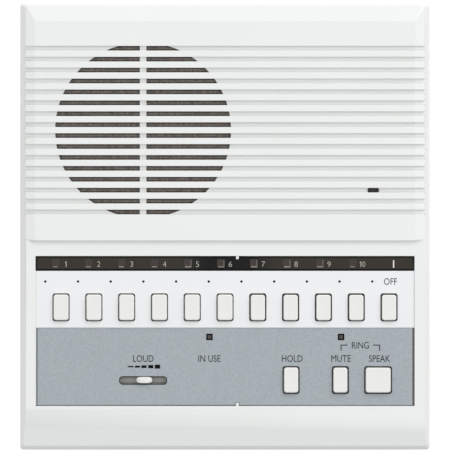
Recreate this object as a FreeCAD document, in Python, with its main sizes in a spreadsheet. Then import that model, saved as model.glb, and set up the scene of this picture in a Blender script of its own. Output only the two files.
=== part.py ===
"""Ten-station desk intercom: the parametric model of its case, controls and inner works.

Millimetres. X runs to the right, Y away from the person who uses it and Z up. The origin is
on the desk under the middle of the case, so a level is a height above the desk.
"""
import FreeCAD, Part
import math
import os
import re

import Sketcher
from FreeCAD import Vector

SIZES = {
    # Case: outline and levels, from the desk up
    "case_width": 195.0,
    "case_depth": 212.5,
    "case_corner": 1.5,
    "back_level": 2.5,
    "parting_level": 24.0,
    "shoulder_level": 46.8,
    "panel_level": 52.8,
    "plateau_level": 54.2,
    "wall_thickness": 2.6,
    # Front cover: sloping shoulder, front slope and raised speaker plateau
    "panel_width": 189.6,
    "panel_rear_y": 105.1,
    "panel_front_y": -101.6,
    "plateau_width": 180.8,
    "plateau_rear_y": 97.7,
    "step_y": -6.72,
    "slope_start_y": -87.0,
    "slope_blend": 36.0,
    "slope_angle": 17.0,
    # Front cover: hollow inside
    "skirt_ceiling": 46.2,
    "ceiling_level": 49.3,
    "ceiling_width": 185.2,
    "ceiling_rear_y": 102.4,
    "ceiling_front_y": -98.5,
    "bay_ceiling": 51.6,
    "bay_width": 180.0,
    "bay_front_y": -4.0,
    "bay_rear_y": 98.0,
    # Front cover: louvred grille
    "groove_count": 16,
    "groove_pitch": 5.192,
    "groove_height": 2.2,
    "groove_depth": 1.1,
    "groove_first_y": 6.84,
    "grille_radius": 41.8,
    "grille_bar": 3.14,
    "speaker_x": -38.95,
    "speaker_y": 45.7,
    "seat_ring_radius": 45.3,
    "seat_ring_wall": 2.3,
    "seat_level": 49.2,
    # Panel recess and the three plates that lie in it
    "recess_width": 180.3,
    "recess_rear_y": -14.1,
    "recess_front_y": -85.4,
    "recess_depth": 2.0,
    "plate_thickness": 1.5,
    "plate_gap": 0.3,
    "window_front_y": -21.1,
    "selector_front_y": -48.2,
    "tab_x": 5.9,
    "tab_width": 2.1,
    "tab_depth": 1.85,
    "tab_drop": 0.15,
    "tab_fit": 0.2,
    # Keys
    "key_count": 11,
    "key_pitch": 15.6,
    "key_row_y": -38.5,
    "key_width": 6.9,
    "key_length": 12.1,
    "key_corner": 1.2,
    "key_edge": 0.5,
    "key_top": 54.1,
    "key_gap": 0.62,
    "flange_lip": 1.25,
    "flange_top": 49.0,
    "flange_thickness": 1.0,
    "floor_relief": 0.4,
    "function_row_y": -73.1,
    "hold_x": 31.4,
    "mute_x": 54.85,
    "talk_x": 72.8,
    "talk_size": 12.0,
    # Switches under the keys
    "plunger_width": 4.0,
    "plunger_length": 6.0,
    "plunger_fit": 0.1,
    "plunger_bottom": 37.0,
    "socket_depth": 3.0,
    "well_gap": 0.3,
    "well_bottom": 34.0,
    "switch_top": 43.9,
    "switch_frame_width": 172.0,
    "switch_frame_length": 16.0,
    "switch_width": 11.0,
    "switch_length": 13.0,
    "rail_gap": 0.3,
    "rail_wall": 1.2,
    "rail_top": 45.0,
    "bridge_x": 84.5,
    "bridge_width": 2.0,
    "bridge_height": 1.0,
    "latch_length": 168.0,
    "latch_width": 10.0,
    "latch_thickness": 0.8,
    "latch_bottom": 44.0,
    "latch_travel": 1.5,
    "notch_bottom": 46.2,
    "notch_height": 1.2,
    "notch_depth": 0.8,
    # Volume slider
    "volume_x": -38.95,
    "volume_y": -73.3,
    "volume_slot_length": 22.8,
    "volume_slot_height": 4.1,
    "knob_x": -38.4,
    "knob_length": 7.5,
    "knob_width": 3.7,
    "knob_shoulder": 52.7,
    "knob_crest": 53.9,
    "shutter_length": 40.0,
    "shutter_width": 7.0,
    "shutter_bottom": 48.2,
    "shutter_thickness": 0.8,
    "lever_length": 3.0,
    "lever_width": 1.6,
    "lever_bottom": 34.2,
    "lever_top": 50.5,
    "lever_fit": 0.1,
    "pot_length": 34.0,
    "pot_width": 9.0,
    "pot_height": 7.0,
    "pot_slot_length": 20.5,
    "pot_slot_width": 2.4,
    "pot_slot_depth": 5.0,
    # Lamps
    "lamp_y": -52.6,
    "busy_x": -7.4,
    "call_x": 55.2,
    "lamp_hole": 3.1,
    "lamp_size": 2.7,
    "lamp_top": 52.1,
    "lamp_stand": 4.6,
    "lamp_stand_top": 48.9,
    "station_count": 10,
    "station_x": -80.4,
    "station_y": -18.0,
    "station_hole_width": 3.4,
    "station_hole_length": 3.6,
    "station_lamp_width": 2.8,
    "station_lamp_length": 3.0,
    "station_lamp_top": 50.5,
    "lamp_board_bottom": 46.4,
    "lamp_board_thickness": 1.2,
    "lamp_board_width": 164.0,
    "lamp_board_length": 5.6,
    "lamp_board_x": -1.5,
    "stake_radius": 1.6,
    "stake_pin_radius": 0.7,
    "stake_pin_length": 1.8,
    # Microphone
    "mic_x": 70.5,
    "mic_slot_length": 6.2,
    "mic_boot_radius": 6.5,
    "mic_boot_bottom": 44.6,
    "mic_hole_radius": 3.2,
    "mic_front_wall": 1.5,
    "mic_radius": 4.8,
    "mic_fit": 0.1,
    "mic_height": 5.4,
    # Loudspeaker, as radii about its own axis and levels
    "cloth_radius": 42.8,
    "cloth_thickness": 0.6,
    "flange_inner": 39.3,
    "flange_sheet": 1.2,
    "basket_top_radius": 40.4,
    "basket_base_radius": 25.8,
    "basket_base_level": 34.0,
    "basket_sheet": 1.0,
    "basket_hole_radius": 11.5,
    "window_count": 6,
    "window_inner": 27.5,
    "window_outer": 38.0,
    "window_width": 14.0,
    "magnet_radius": 22.0,
    "magnet_bottom": 19.0,
    "top_plate_radius": 20.0,
    "top_plate_thickness": 3.0,
    "air_gap_outer": 11.0,
    "air_gap_inner": 8.4,
    "air_gap_depth": 12.0,
    "cone_radius": 36.2,
    "cone_lip": 1.2,
    "cone_top": 49.0,
    "cone_paper": 0.5,
    "cone_neck_level": 36.4,
    "coil_radius": 9.9,
    "coil_wall": 0.5,
    "coil_bottom": 27.0,
    "dust_cap_radius": 12.9,
    "dust_cap_level": 38.9,
    "dust_cap_rise": 2.6,
    "surround_outer": 41.6,
    "surround_flat": 39.5,
    "surround_inner": 36.6,
    "surround_rubber": 0.4,
    "surround_rise": 1.2,
    "clamp_reach": 34.8,
    "clamp_radius": 6.0,
    "clamp_thickness": 1.2,
    "clamp_boss_radius": 3.0,
    # Screws and the bosses they go into
    "small_screw_radius": 1.15,
    "small_screw_fit": 0.05,
    "small_head_radius": 2.6,
    "small_head_height": 2.0,
    "clamp_screw_length": 4.7,
    "board_screw_length": 9.0,
    "case_screw_radius": 1.45,
    "case_screw_length": 20.0,
    "case_head_radius": 3.0,
    "case_head_height": 2.2,
    "case_boss_x": 85.0,
    "case_boss_rear_y": 97.0,
    "case_boss_front_y": -95.0,
    "case_boss_radius": 4.0,
    "case_pilot_depth": 12.0,
    "board_boss_x": 86.0,
    "board_boss_rear_y": -26.0,
    "board_boss_front_y": -82.0,
    "board_boss_radius": 3.2,
    # Main board
    "board_width": 180.0,
    "board_length": 76.0,
    "board_y": -50.0,
    "board_bottom": 30.0,
    "board_thickness": 1.6,
    "board_hole_radius": 1.6,
    "capacitor_radius": 4.0,
    "capacitor_height": 11.0,
    # Rear case
    "back_width": 186.0,
    "back_depth": 203.5,
    "back_corner": 3.0,
    "rim_width": 193.8,
    "rim_depth": 211.3,
    "back_thickness": 2.5,
    "tongue_height": 1.6,
    "tongue_wall": 1.4,
    "tongue_gap": 0.3,
    "counterbore_radius": 3.4,
    "counterbore_level": 14.0,
    "rear_boss_radius": 4.6,
    "rear_hole_radius": 1.7,
    "foot_x": 78.0,
    "foot_y": 84.0,
    "foot_radius": 7.0,
    "foot_taper": 0.5,
    "foot_seat_depth": 1.0,
    "foot_seat_gap": 0.1,
    "cable_entry_x": 45.0,
    "cable_entry_y": 62.0,
    "cable_entry_width": 36.0,
    "cable_entry_length": 24.0,
    "wall_hole_radius": 2.25,
    "wall_pattern_x": 45.0,
    "wall_pattern_y": 45.0,
    "wall_spacing_x": 46.0,
    "wall_spacing_y": 83.5,
    "vent_count": 8,
    "vent_length": 34.0,
    "vent_height": 2.2,
    "vent_pitch": 6.0,
    "vent_first_y": 24.7,
    "rib_height": 4.0,
    "rib_wall": 1.4,
    "rib_y": -50.0,
    "rib_spacing": 40.0,
    # Terminal block
    "terminal_x": 45.0,
    "terminal_y": 30.0,
    "terminal_width": 66.0,
    "terminal_length": 20.0,
    "terminal_height": 11.0,
    "terminal_pitch": 10.0,
    "terminal_count": 6,
    "terminal_row_gap": 10.0,
    "terminal_well_radius": 2.8,
    "terminal_well_depth": 5.0,
    "terminal_screw_radius": 2.2,
    "terminal_screw_height": 3.4,
}

# Levels worked out from the sizes above
BOARD_TOP = "(board_bottom + board_thickness)"
RECESS_FLOOR = "(panel_level - recess_depth)"
CAVITY_FLOOR = "(back_level + back_thickness)"
LAMP_BOARD_TOP = "(lamp_board_bottom + lamp_board_thickness)"
MIC_Y = "(groove_first_y + 2 * groove_pitch)"

PLANES = {"top": "XY_Plane", "front": "XZ_Plane", "side": "YZ_Plane"}
SIDES = (-1, 1)

doc = FreeCAD.newDocument("desk_intercom")
sheet = doc.addObject("Spreadsheet::Sheet", "sizes")
pieces = []


# ---- Driving dimensions and helpers -----------------------------------------------------

def fill_sheet():
    """Write every driving dimension into the sheet as plain text, with its alias."""
    for row, (alias, value) in enumerate(SIZES.items(), start=1):
        sheet.set(f"A{row}", alias)
        sheet.set(f"B{row}", str(value))
        sheet.setAlias(f"B{row}", alias)
    doc.recompute()


def linked(expression):
    """Turn the aliases in an expression into references to the sheet's cells."""
    return re.sub(r"[a-z]+(?:_[a-z]+)+", lambda match: "sizes." + match.group(0), str(expression))


def size(expression):
    """The number that an expression of aliases stands for now."""
    return float(sheet.evalExpression(linked(expression)))


def bind(item, properties):
    """Bind each property of a document object to an expression of aliases."""
    for name, expression in properties.items():
        item.setExpression(name, linked(expression))


def place(item, x, y, z):
    bind(item, {"Placement.Base.x": x, "Placement.Base.y": y, "Placement.Base.z": z})


def finish_piece(item, label):
    """Give a finished sub-part the label that names its file."""
    item.Label = label
    pieces.append(item)
    return item


# ---- Sketches ---------------------------------------------------------------------------

def origin_item(body, role):
    return next(item for item in body.Origin.OriginFeatures if item.Role == role)


def sketch_on(body, plane, offset="0"):
    """A sketch on one of the body's own origin planes, moved along its normal."""
    sketch = body.newObject("Sketcher::SketchObject", f"{body.Name}_sketch")
    sketch.AttachmentSupport = (origin_item(body, PLANES[plane]), [""])
    sketch.MapMode = "FlatFace"
    bind(sketch, {"AttachmentOffset.Base.z": offset})
    return sketch


def fix_point(sketch, geometry, point, x, y):
    """Dimension a point of the sketch from its origin."""
    for kind, expression in (("DistanceX", x), ("DistanceY", y)):
        constraint = Sketcher.Constraint(kind, -1, 1, geometry, point, size(expression))
        index = sketch.addConstraint(constraint)
        bind(sketch, {f"Constraints[{index}]": expression})


def draw_polygon(sketch, points):
    """A closed outline of straight lines through points given as pairs of expressions."""
    corners = [Vector(size(x), size(y), 0) for x, y in points]
    first = sketch.GeometryCount
    for start, end in zip(corners, corners[1:] + corners[:1]):
        sketch.addGeometry(Part.LineSegment(start, end), False)
    for index in range(len(points)):
        following = first + (index + 1) % len(points)
        sketch.addConstraint(Sketcher.Constraint("Coincident", first + index, 2, following, 1))
    for index, (x, y) in enumerate(points):
        fix_point(sketch, first + index, 1, x, y)


def draw_rectangle(sketch, x, y, width, length):
    left, right = f"({x}) - ({width}) / 2", f"({x}) + ({width}) / 2"
    low, high = f"({y}) - ({length}) / 2", f"({y}) + ({length}) / 2"
    draw_polygon(sketch, [(left, low), (right, low), (right, high), (left, high)])


def draw_rounded(sketch, x, y, width, length, radius):
    """A rectangle about (x, y) with four equal round corners."""
    left, right = f"({x}) - ({width}) / 2", f"({x}) + ({width}) / 2"
    low, high = f"({y}) - ({length}) / 2", f"({y}) + ({length}) / 2"
    corner = size(radius)
    x0, x1, y0, y1 = (size(edge) for edge in (left, right, low, high))
    quarter = math.pi / 2
    spans = [
        (Vector(x0 + corner, y0, 0), Vector(x1 - corner, y0, 0)),
        (Vector(x1, y0 + corner, 0), Vector(x1, y1 - corner, 0)),
        (Vector(x1 - corner, y1, 0), Vector(x0 + corner, y1, 0)),
        (Vector(x0, y1 - corner, 0), Vector(x0, y0 + corner, 0)),
    ]
    centres = [
        Vector(x1 - corner, y0 + corner, 0),
        Vector(x1 - corner, y1 - corner, 0),
        Vector(x0 + corner, y1 - corner, 0),
        Vector(x0 + corner, y0 + corner, 0),
    ]
    first = sketch.GeometryCount
    for side, (start, end) in enumerate(spans):
        sketch.addGeometry(Part.LineSegment(start, end), False)
        circle = Part.Circle(centres[side], Vector(0, 0, 1), corner)
        turn = (side - 1) * quarter
        sketch.addGeometry(Part.ArcOfCircle(circle, turn, turn + quarter), False)
    for side in range(4):
        line = first + 2 * side
        arc = line + 1
        next_line = first + 2 * ((side + 1) % 4)
        sketch.addConstraint(Sketcher.Constraint("Tangent", line, 2, arc, 1))
        sketch.addConstraint(Sketcher.Constraint("Tangent", arc, 2, next_line, 1))
        direction = "Horizontal" if side % 2 == 0 else "Vertical"
        sketch.addConstraint(Sketcher.Constraint(direction, line))
        if side > 0:
            sketch.addConstraint(Sketcher.Constraint("Equal", first + 1, arc))
    bounds = (("DistanceY", first, low), ("DistanceX", first + 2, right),
              ("DistanceY", first + 4, high), ("DistanceX", first + 6, left))
    for kind, line, expression in bounds:
        constraint = Sketcher.Constraint(kind, -1, 1, line, 1, size(expression))
        index = sketch.addConstraint(constraint)
        bind(sketch, {f"Constraints[{index}]": expression})
    index = sketch.addConstraint(Sketcher.Constraint("Radius", first + 1, corner))
    bind(sketch, {f"Constraints[{index}]": radius})


def draw_circle(sketch, x, y, radius):
    centre = Vector(size(x), size(y), 0)
    circle = sketch.addGeometry(Part.Circle(centre, Vector(0, 0, 1), size(radius)), False)
    fix_point(sketch, circle, 3, x, y)
    index = sketch.addConstraint(Sketcher.Constraint("Radius", circle, size(radius)))
    bind(sketch, {f"Constraints[{index}]": radius})


# ---- Features ---------------------------------------------------------------------------

def new_body(label):
    body = doc.addObject("PartDesign::Body", label)
    return finish_piece(body, label)


def checked(body, feature, grows):
    """Recompute a feature and make sure that it changed the solid the right way."""
    before = feature.BaseFeature.Shape.Volume if feature.BaseFeature else 0.0
    doc.recompute()
    change = feature.Shape.Volume - before
    if (change > 0) != grows:
        raise ValueError(f"{body.Label}: {feature.Name} changed the volume by {change:.3f}")
    return feature


def extrude(body, kind, sketch, length, up=True, both_ways=False):
    """Pad or pocket a sketch upward, downward or both ways from its plane."""
    feature = body.newObject(f"PartDesign::{kind}", f"{body.Name}_{kind.lower()}")
    feature.Profile = sketch
    feature.Reversed = up == (kind == "Pocket")
    if both_ways:
        feature.SideType = "Symmetric"
    bind(feature, {"Length": length})
    return checked(body, feature, kind == "Pad")


def loft(body, kind, lower, upper):
    """A ruled loft between two sketches, added to the body or taken from it."""
    feature = body.newObject(f"PartDesign::{kind}", f"{body.Name}_loft")
    feature.Profile = lower
    feature.Sections = [upper]
    feature.Ruled = True
    return checked(body, feature, kind == "AdditiveLoft")


def revolve(body, points):
    """A full turn about the body's own upright axis of a profile of radii and levels."""
    sketch = sketch_on(body, "front")
    draw_polygon(sketch, points)
    feature = body.newObject("PartDesign::Revolution", f"{body.Name}_turned")
    feature.Profile = sketch
    feature.ReferenceAxis = (sketch, ["V_Axis"])
    return checked(body, feature, True)


def repeat_along(body, feature, axis, spacing, count):
    """Repeat a feature in a straight row along one of the body's axes."""
    pattern = body.newObject("PartDesign::LinearPattern", f"{body.Name}_row")
    pattern.Originals = [feature]
    pattern.Direction = (origin_item(body, axis), [""])
    bind(pattern, {"Length": f"({spacing}) * (({count}) - 1)", "Occurrences": count})
    body.Tip = pattern
    doc.recompute()
    return pattern


def repeat_around(body, feature, count):
    """Repeat a feature in a ring about the body's upright axis."""
    pattern = body.newObject("PartDesign::PolarPattern", f"{body.Name}_ring")
    pattern.Originals = [feature]
    pattern.Axis = (origin_item(body, "Z_Axis"), [""])
    pattern.Angle = 360
    bind(pattern, {"Occurrences": count})
    body.Tip = pattern
    doc.recompute()
    return pattern


def fillet_level(body, level, radius):
    """Round the edges that lie wholly at one level."""
    feature = body.Tip
    height = size(level)
    names = []
    for number, edge in enumerate(feature.Shape.Edges, start=1):
        if all(abs(vertex.Z - height) < 1e-6 for vertex in edge.Vertexes):
            names.append(f"Edge{number}")
    rounded = body.newObject("PartDesign::Fillet", f"{body.Name}_rounded")
    rounded.Base = (feature, names)
    bind(rounded, {"Radius": radius})
    return checked(body, rounded, False)


# ---- Primitives -------------------------------------------------------------------------

def block(x, y, low, width, length, height):
    """A box about (x, y) that stands on the level low."""
    item = doc.addObject("Part::Box", "block")
    bind(item, {"Length": width, "Width": length, "Height": height})
    place(item, f"({x}) - ({width}) / 2", f"({y}) - ({length}) / 2", low)
    return item


def rod(x, y, low, radius, height):
    item = doc.addObject("Part::Cylinder", "rod")
    bind(item, {"Radius": radius, "Height": height})
    place(item, x, y, low)
    return item


def fused(items):
    item = doc.addObject("Part::MultiFuse", "fused")
    item.Shapes = items
    return item


def grouped(items):
    """Separate solids kept side by side in one sub-part."""
    item = doc.addObject("Part::Compound", "grouped")
    item.Links = items
    return item


def cut(base, tools):
    item = doc.addObject("Part::Cut", "cut")
    item.Base = base
    item.Tool = tools[0] if len(tools) == 1 else grouped(tools)
    return item


def screw(x, y, seat, radius, length, head_radius, head_height):
    """A pan-head screw that goes up from its seat, with its head below."""
    shank = rod(x, y, seat, radius, length)
    head = rod(x, y, f"({seat}) - ({head_height})", head_radius, head_height)
    return fused([shank, head])


def key_positions():
    """The row of selector keys, as labels and the distance of each from the middle one."""
    middle = (SIZES["key_count"] - 1) // 2
    for index in range(SIZES["key_count"]):
        last = index == SIZES["key_count"] - 1
        name = "off" if last else f"selector_{index + 1}"
        yield name, f"{index - middle} * key_pitch"


def stake_positions():
    """The stakes of the lamp board stand midway between two lamps."""
    return [f"station_x + {lamps} * key_pitch" for lamps in (0.5, 5.5, 9.5)]


FUNCTION_KEYS = (
    ("hold", "hold_x", "key_width", "key_length"),
    ("mute", "mute_x", "key_width", "key_length"),
    ("talk", "talk_x", "talk_size", "talk_size"),
)


# ---- Front cover ------------------------------------------------------------------------

def draw_panel_outline(sketch):
    """The edge between the sloping shoulder and the panel."""
    middle = "(panel_rear_y + panel_front_y) / 2"
    draw_rounded(sketch, "0", middle, "panel_width", "panel_rear_y - panel_front_y", "case_corner")


def add_cover_shell(body):
    """Skirt, shoulder and raised plateau, one above the other."""
    skirt = sketch_on(body, "top", "parting_level")
    draw_rounded(skirt, "0", "0", "case_width", "case_depth", "case_corner")
    extrude(body, "Pad", skirt, "shoulder_level - parting_level")

    shoulder_foot = sketch_on(body, "top", "shoulder_level")
    draw_rounded(shoulder_foot, "0", "0", "case_width", "case_depth", "case_corner")
    shoulder_edge = sketch_on(body, "top", "panel_level")
    draw_panel_outline(shoulder_edge)
    loft(body, "AdditiveLoft", shoulder_foot, shoulder_edge)

    plateau_foot = sketch_on(body, "top", "panel_level")
    draw_rounded(plateau_foot, "0", "(panel_rear_y + step_y) / 2", "panel_width",
                 "panel_rear_y - step_y", "case_corner")
    plateau_edge = sketch_on(body, "top", "plateau_level")
    draw_rounded(plateau_edge, "0", "(plateau_rear_y + step_y) / 2", "plateau_width",
                 "plateau_rear_y - step_y", "case_corner / 3")
    loft(body, "AdditiveLoft", plateau_foot, plateau_edge)


def cut_front_slope(body):
    """The panel rolls over into a slope that falls to the front edge of the case."""
    angle = "slope_angle * 1 deg"
    blend_y = f"slope_start_y - slope_blend * sin({angle})"
    blend_level = f"panel_level - slope_blend * (1 - cos({angle}))"
    reach_y = "-case_depth / 2 - 5"
    reach_level = f"{blend_level} - ({blend_y} - ({reach_y})) * tan({angle})"
    above = "plateau_level + 1"
    outline = [(blend_y, blend_level), (reach_y, reach_level), (reach_y, above),
               ("slope_start_y", above), ("slope_start_y", "panel_level")]

    sketch = sketch_on(body, "side")
    centre = Vector(size("slope_start_y"), size("panel_level - slope_blend"), 0)
    circle = Part.Circle(centre, Vector(0, 0, 1), size("slope_blend"))
    lean = math.radians(size("slope_angle"))
    sketch.addGeometry(Part.ArcOfCircle(circle, math.pi / 2, math.pi / 2 + lean), False)
    corners = [Vector(size(y), size(z), 0) for y, z in outline]
    for start, end in zip(corners, corners[1:]):
        sketch.addGeometry(Part.LineSegment(start, end), False)
    for index in range(5):
        following = (index + 1) % 5
        sketch.addConstraint(Sketcher.Constraint("Coincident", index, 2, following, 1))
    for index, (y, z) in enumerate(outline, start=1):
        if index < 5:
            fix_point(sketch, index, 1, y, z)
    fix_point(sketch, 0, 3, "slope_start_y", "panel_level - slope_blend")
    sketch.addConstraint(Sketcher.Constraint("Vertical", 0, 1, 0, 3))
    extrude(body, "Pocket", sketch, "case_width + 10", both_ways=True)


def hollow_cover(body):
    """Open the cover from below: skirt, drafted shoulder and the bay under the plateau."""
    skirt = sketch_on(body, "top", "parting_level")
    draw_rounded(skirt, "0", "0", "case_width - 2 * wall_thickness",
                 "case_depth - 2 * wall_thickness", "case_corner")
    extrude(body, "Pocket", skirt, "skirt_ceiling - parting_level", up=True)

    foot = sketch_on(body, "top", "skirt_ceiling")
    draw_rounded(foot, "0", "0", "case_width - 2 * wall_thickness",
                 "case_depth - 2 * wall_thickness", "case_corner")
    ceiling = sketch_on(body, "top", "ceiling_level")
    draw_rounded(ceiling, "0", "(ceiling_rear_y + ceiling_front_y) / 2", "ceiling_width",
                 "ceiling_rear_y - ceiling_front_y", "case_corner")
    loft(body, "SubtractiveLoft", foot, ceiling)

    bay = sketch_on(body, "top", "ceiling_level")
    draw_rectangle(bay, "0", "(bay_rear_y + bay_front_y) / 2", "bay_width",
                   "bay_rear_y - bay_front_y")
    extrude(body, "Pocket", bay, "bay_ceiling - ceiling_level", up=True)


def add_louvres(body):
    """The round opening crossed by ribs, and grooves that carry the ribs on to both edges."""
    opening = sketch_on(body, "top", "bay_ceiling")
    draw_circle(opening, "speaker_x", "speaker_y", "grille_radius")
    extrude(body, "Pocket", opening, "plateau_level - bay_ceiling + 1", up=True)

    rib = sketch_on(body, "top", "bay_ceiling")
    draw_rectangle(rib, "speaker_x", "groove_first_y - groove_pitch / 2", "2 * grille_radius + 1",
                   "groove_pitch - groove_height")
    ribs = extrude(body, "Pad", rib, "plateau_level - bay_ceiling")
    repeat_along(body, ribs, "Y_Axis", "groove_pitch", "groove_count + 1")

    bar = sketch_on(body, "top", "bay_ceiling")
    draw_rectangle(bar, "speaker_x", "speaker_y", "grille_bar", "2 * grille_radius + 1")
    extrude(body, "Pad", bar, "plateau_level - groove_depth - bay_ceiling")

    # The groove floor is the plateau's own profile, lowered, so it follows the side bevels
    # and runs out through the shoulder.
    groove = sketch_on(body, "front", "-groove_first_y")
    fall = "(plateau_level - panel_level) / ((panel_width - plateau_width) / 2)"
    floor = "plateau_level - groove_depth"
    reach = "(case_width - plateau_width) / 2"
    draw_polygon(groove, [
        ("-case_width / 2", f"{floor} - {fall} * {reach}"),
        ("-plateau_width / 2", floor),
        ("plateau_width / 2", floor),
        ("case_width / 2", f"{floor} - {fall} * {reach}"),
        ("case_width / 2", "plateau_level + 1"),
        ("-case_width / 2", "plateau_level + 1"),
    ])
    grooves = extrude(body, "Pocket", groove, "groove_height", both_ways=True)
    repeat_along(body, grooves, "Y_Axis", "groove_pitch", "groove_count")

    mic = sketch_on(body, "top", "bay_ceiling")
    draw_rounded(mic, "mic_x", MIC_Y, "mic_slot_length",
                 "groove_height", "groove_height * 0.49")
    extrude(body, "Pocket", mic, "plateau_level - bay_ceiling", up=True)


def add_panel_recess(body):
    """The shallow recess for the plates, with a locating tab at its rear and front edges."""
    recess = sketch_on(body, "top", "panel_level")
    draw_rectangle(recess, "0", "(recess_rear_y + recess_front_y) / 2", "recess_width",
                   "recess_rear_y - recess_front_y")
    extrude(body, "Pocket", recess, "recess_depth", up=False)

    tabs = sketch_on(body, "top", RECESS_FLOOR)
    tab_width = "tab_width - 2 * tab_fit"
    draw_rectangle(tabs, "tab_x", "recess_rear_y - tab_depth / 2 + 0.5", tab_width,
                   "tab_depth + 1 - 2 * tab_fit")
    draw_rectangle(tabs, "tab_x", "recess_front_y + tab_depth / 2 - 0.5", tab_width,
                   "tab_depth + 1 - 2 * tab_fit")
    extrude(body, "Pad", tabs, "recess_depth - tab_drop")


def cut_panel_floor(body):
    """Openings through the recess floor for keys, lamps and the volume slider."""
    thickness = f"{RECESS_FLOOR} - ceiling_level"
    relief = "2 * key_gap + floor_relief"

    key = sketch_on(body, "top", RECESS_FLOOR)
    draw_rounded(key, "-(key_count - 1) / 2 * key_pitch", "key_row_y", f"key_width + {relief}",
                 f"key_length + {relief}", "key_corner")
    keys = extrude(body, "Pocket", key, thickness, up=False)
    repeat_along(body, keys, "X_Axis", "key_pitch", "key_count")

    functions = sketch_on(body, "top", RECESS_FLOOR)
    for _name, x, width, length in FUNCTION_KEYS:
        draw_rounded(functions, x, "function_row_y", f"{width} + {relief}",
                     f"{length} + {relief}", "key_corner")
    draw_rectangle(functions, "volume_x", "volume_y", "volume_slot_length + 2",
                   "volume_slot_height + 1")
    for x in ("busy_x", "call_x"):
        draw_rectangle(functions, x, "lamp_y", "lamp_hole", "lamp_hole")
    extrude(body, "Pocket", functions, thickness, up=False)

    lamp = sketch_on(body, "top", RECESS_FLOOR)
    draw_rectangle(lamp, "station_x", "station_y", "station_hole_width", "station_hole_length")
    lamps = extrude(body, "Pocket", lamp, thickness, up=False)
    repeat_along(body, lamps, "X_Axis", "key_pitch", "station_count")


def add_cover_bosses(body):
    """The ring and bosses under the cover that carry the loudspeaker, boards and rear case."""
    ring = sketch_on(body, "top", "seat_level")
    draw_circle(ring, "speaker_x", "speaker_y", "seat_ring_radius")
    draw_circle(ring, "speaker_x", "speaker_y", "seat_ring_radius - seat_ring_wall")
    extrude(body, "Pad", ring, "bay_ceiling - seat_level")

    clamps = sketch_on(body, "top", "seat_level - flange_sheet")
    for side_x in SIDES:
        for side_y in SIDES:
            x = f"speaker_x + {side_x} * clamp_reach"
            y = f"speaker_y + {side_y} * clamp_reach"
            draw_circle(clamps, x, y, "clamp_boss_radius")
            draw_circle(clamps, x, y, "small_screw_radius + small_screw_fit")
    extrude(body, "Pad", clamps, "bay_ceiling - seat_level + flange_sheet")

    boards = sketch_on(body, "top", BOARD_TOP)
    rear = sketch_on(body, "top", "parting_level")
    front = sketch_on(body, "top", "parting_level")
    pilots = sketch_on(body, "top", BOARD_TOP)
    case_pilots = sketch_on(body, "top", "parting_level")
    for side in SIDES:
        for y in ("board_boss_rear_y", "board_boss_front_y"):
            draw_circle(boards, f"{side} * board_boss_x", y, "board_boss_radius")
            draw_circle(pilots, f"{side} * board_boss_x", y, "small_screw_radius + small_screw_fit")
        draw_circle(rear, f"{side} * case_boss_x", "case_boss_rear_y", "case_boss_radius")
        draw_circle(front, f"{side} * case_boss_x", "case_boss_front_y", "case_boss_radius")
        for y in ("case_boss_rear_y", "case_boss_front_y"):
            draw_circle(case_pilots, f"{side} * case_boss_x", y, "case_screw_radius + small_screw_fit")
    extrude(body, "Pad", boards, "ceiling_level - board_bottom - board_thickness")
    extrude(body, "Pad", rear, "bay_ceiling - parting_level")
    extrude(body, "Pad", front, "ceiling_level - parting_level")
    extrude(body, "Pocket", pilots, "board_screw_length + 1", up=True)
    extrude(body, "Pocket", case_pilots, "case_pilot_depth", up=True)

    stakes = sketch_on(body, "top", LAMP_BOARD_TOP)
    pins = sketch_on(body, "top", f"{LAMP_BOARD_TOP} - stake_pin_length")
    for x in stake_positions():
        draw_circle(stakes, x, "station_y", "stake_radius")
        draw_circle(pins, x, "station_y", "stake_pin_radius")
    extrude(body, "Pad", stakes, "ceiling_level - lamp_board_bottom - lamp_board_thickness")
    extrude(body, "Pad", pins, "stake_pin_length")


def make_front_cover():
    body = new_body("front_cover")
    add_cover_shell(body)
    cut_front_slope(body)
    hollow_cover(body)
    add_panel_recess(body)
    add_cover_bosses(body)
    cut_panel_floor(body)
    add_louvres(body)


# ---- Plates in the panel recess ---------------------------------------------------------

def make_plate(label, rear, front, rear_gap, front_gap, notch=None):
    """One flat plate of the panel, from its rear edge to its front edge, with its notch."""
    body = new_body(label)
    rear_edge, front_edge = f"({rear} - {rear_gap})", f"({front} + {front_gap})"
    sketch = sketch_on(body, "top", RECESS_FLOOR)
    draw_rectangle(sketch, "0", f"({rear_edge} + {front_edge}) / 2", "recess_width - 2 * plate_gap",
                   f"{rear_edge} - {front_edge}")
    extrude(body, "Pad", sketch, "plate_thickness")
    if notch:
        cutter = sketch_on(body, "top", RECESS_FLOOR)
        draw_rectangle(cutter, "tab_x", notch, "tab_width", "2 * tab_depth")
        extrude(body, "Pocket", cutter, "plate_thickness", up=True)
    return body


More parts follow.
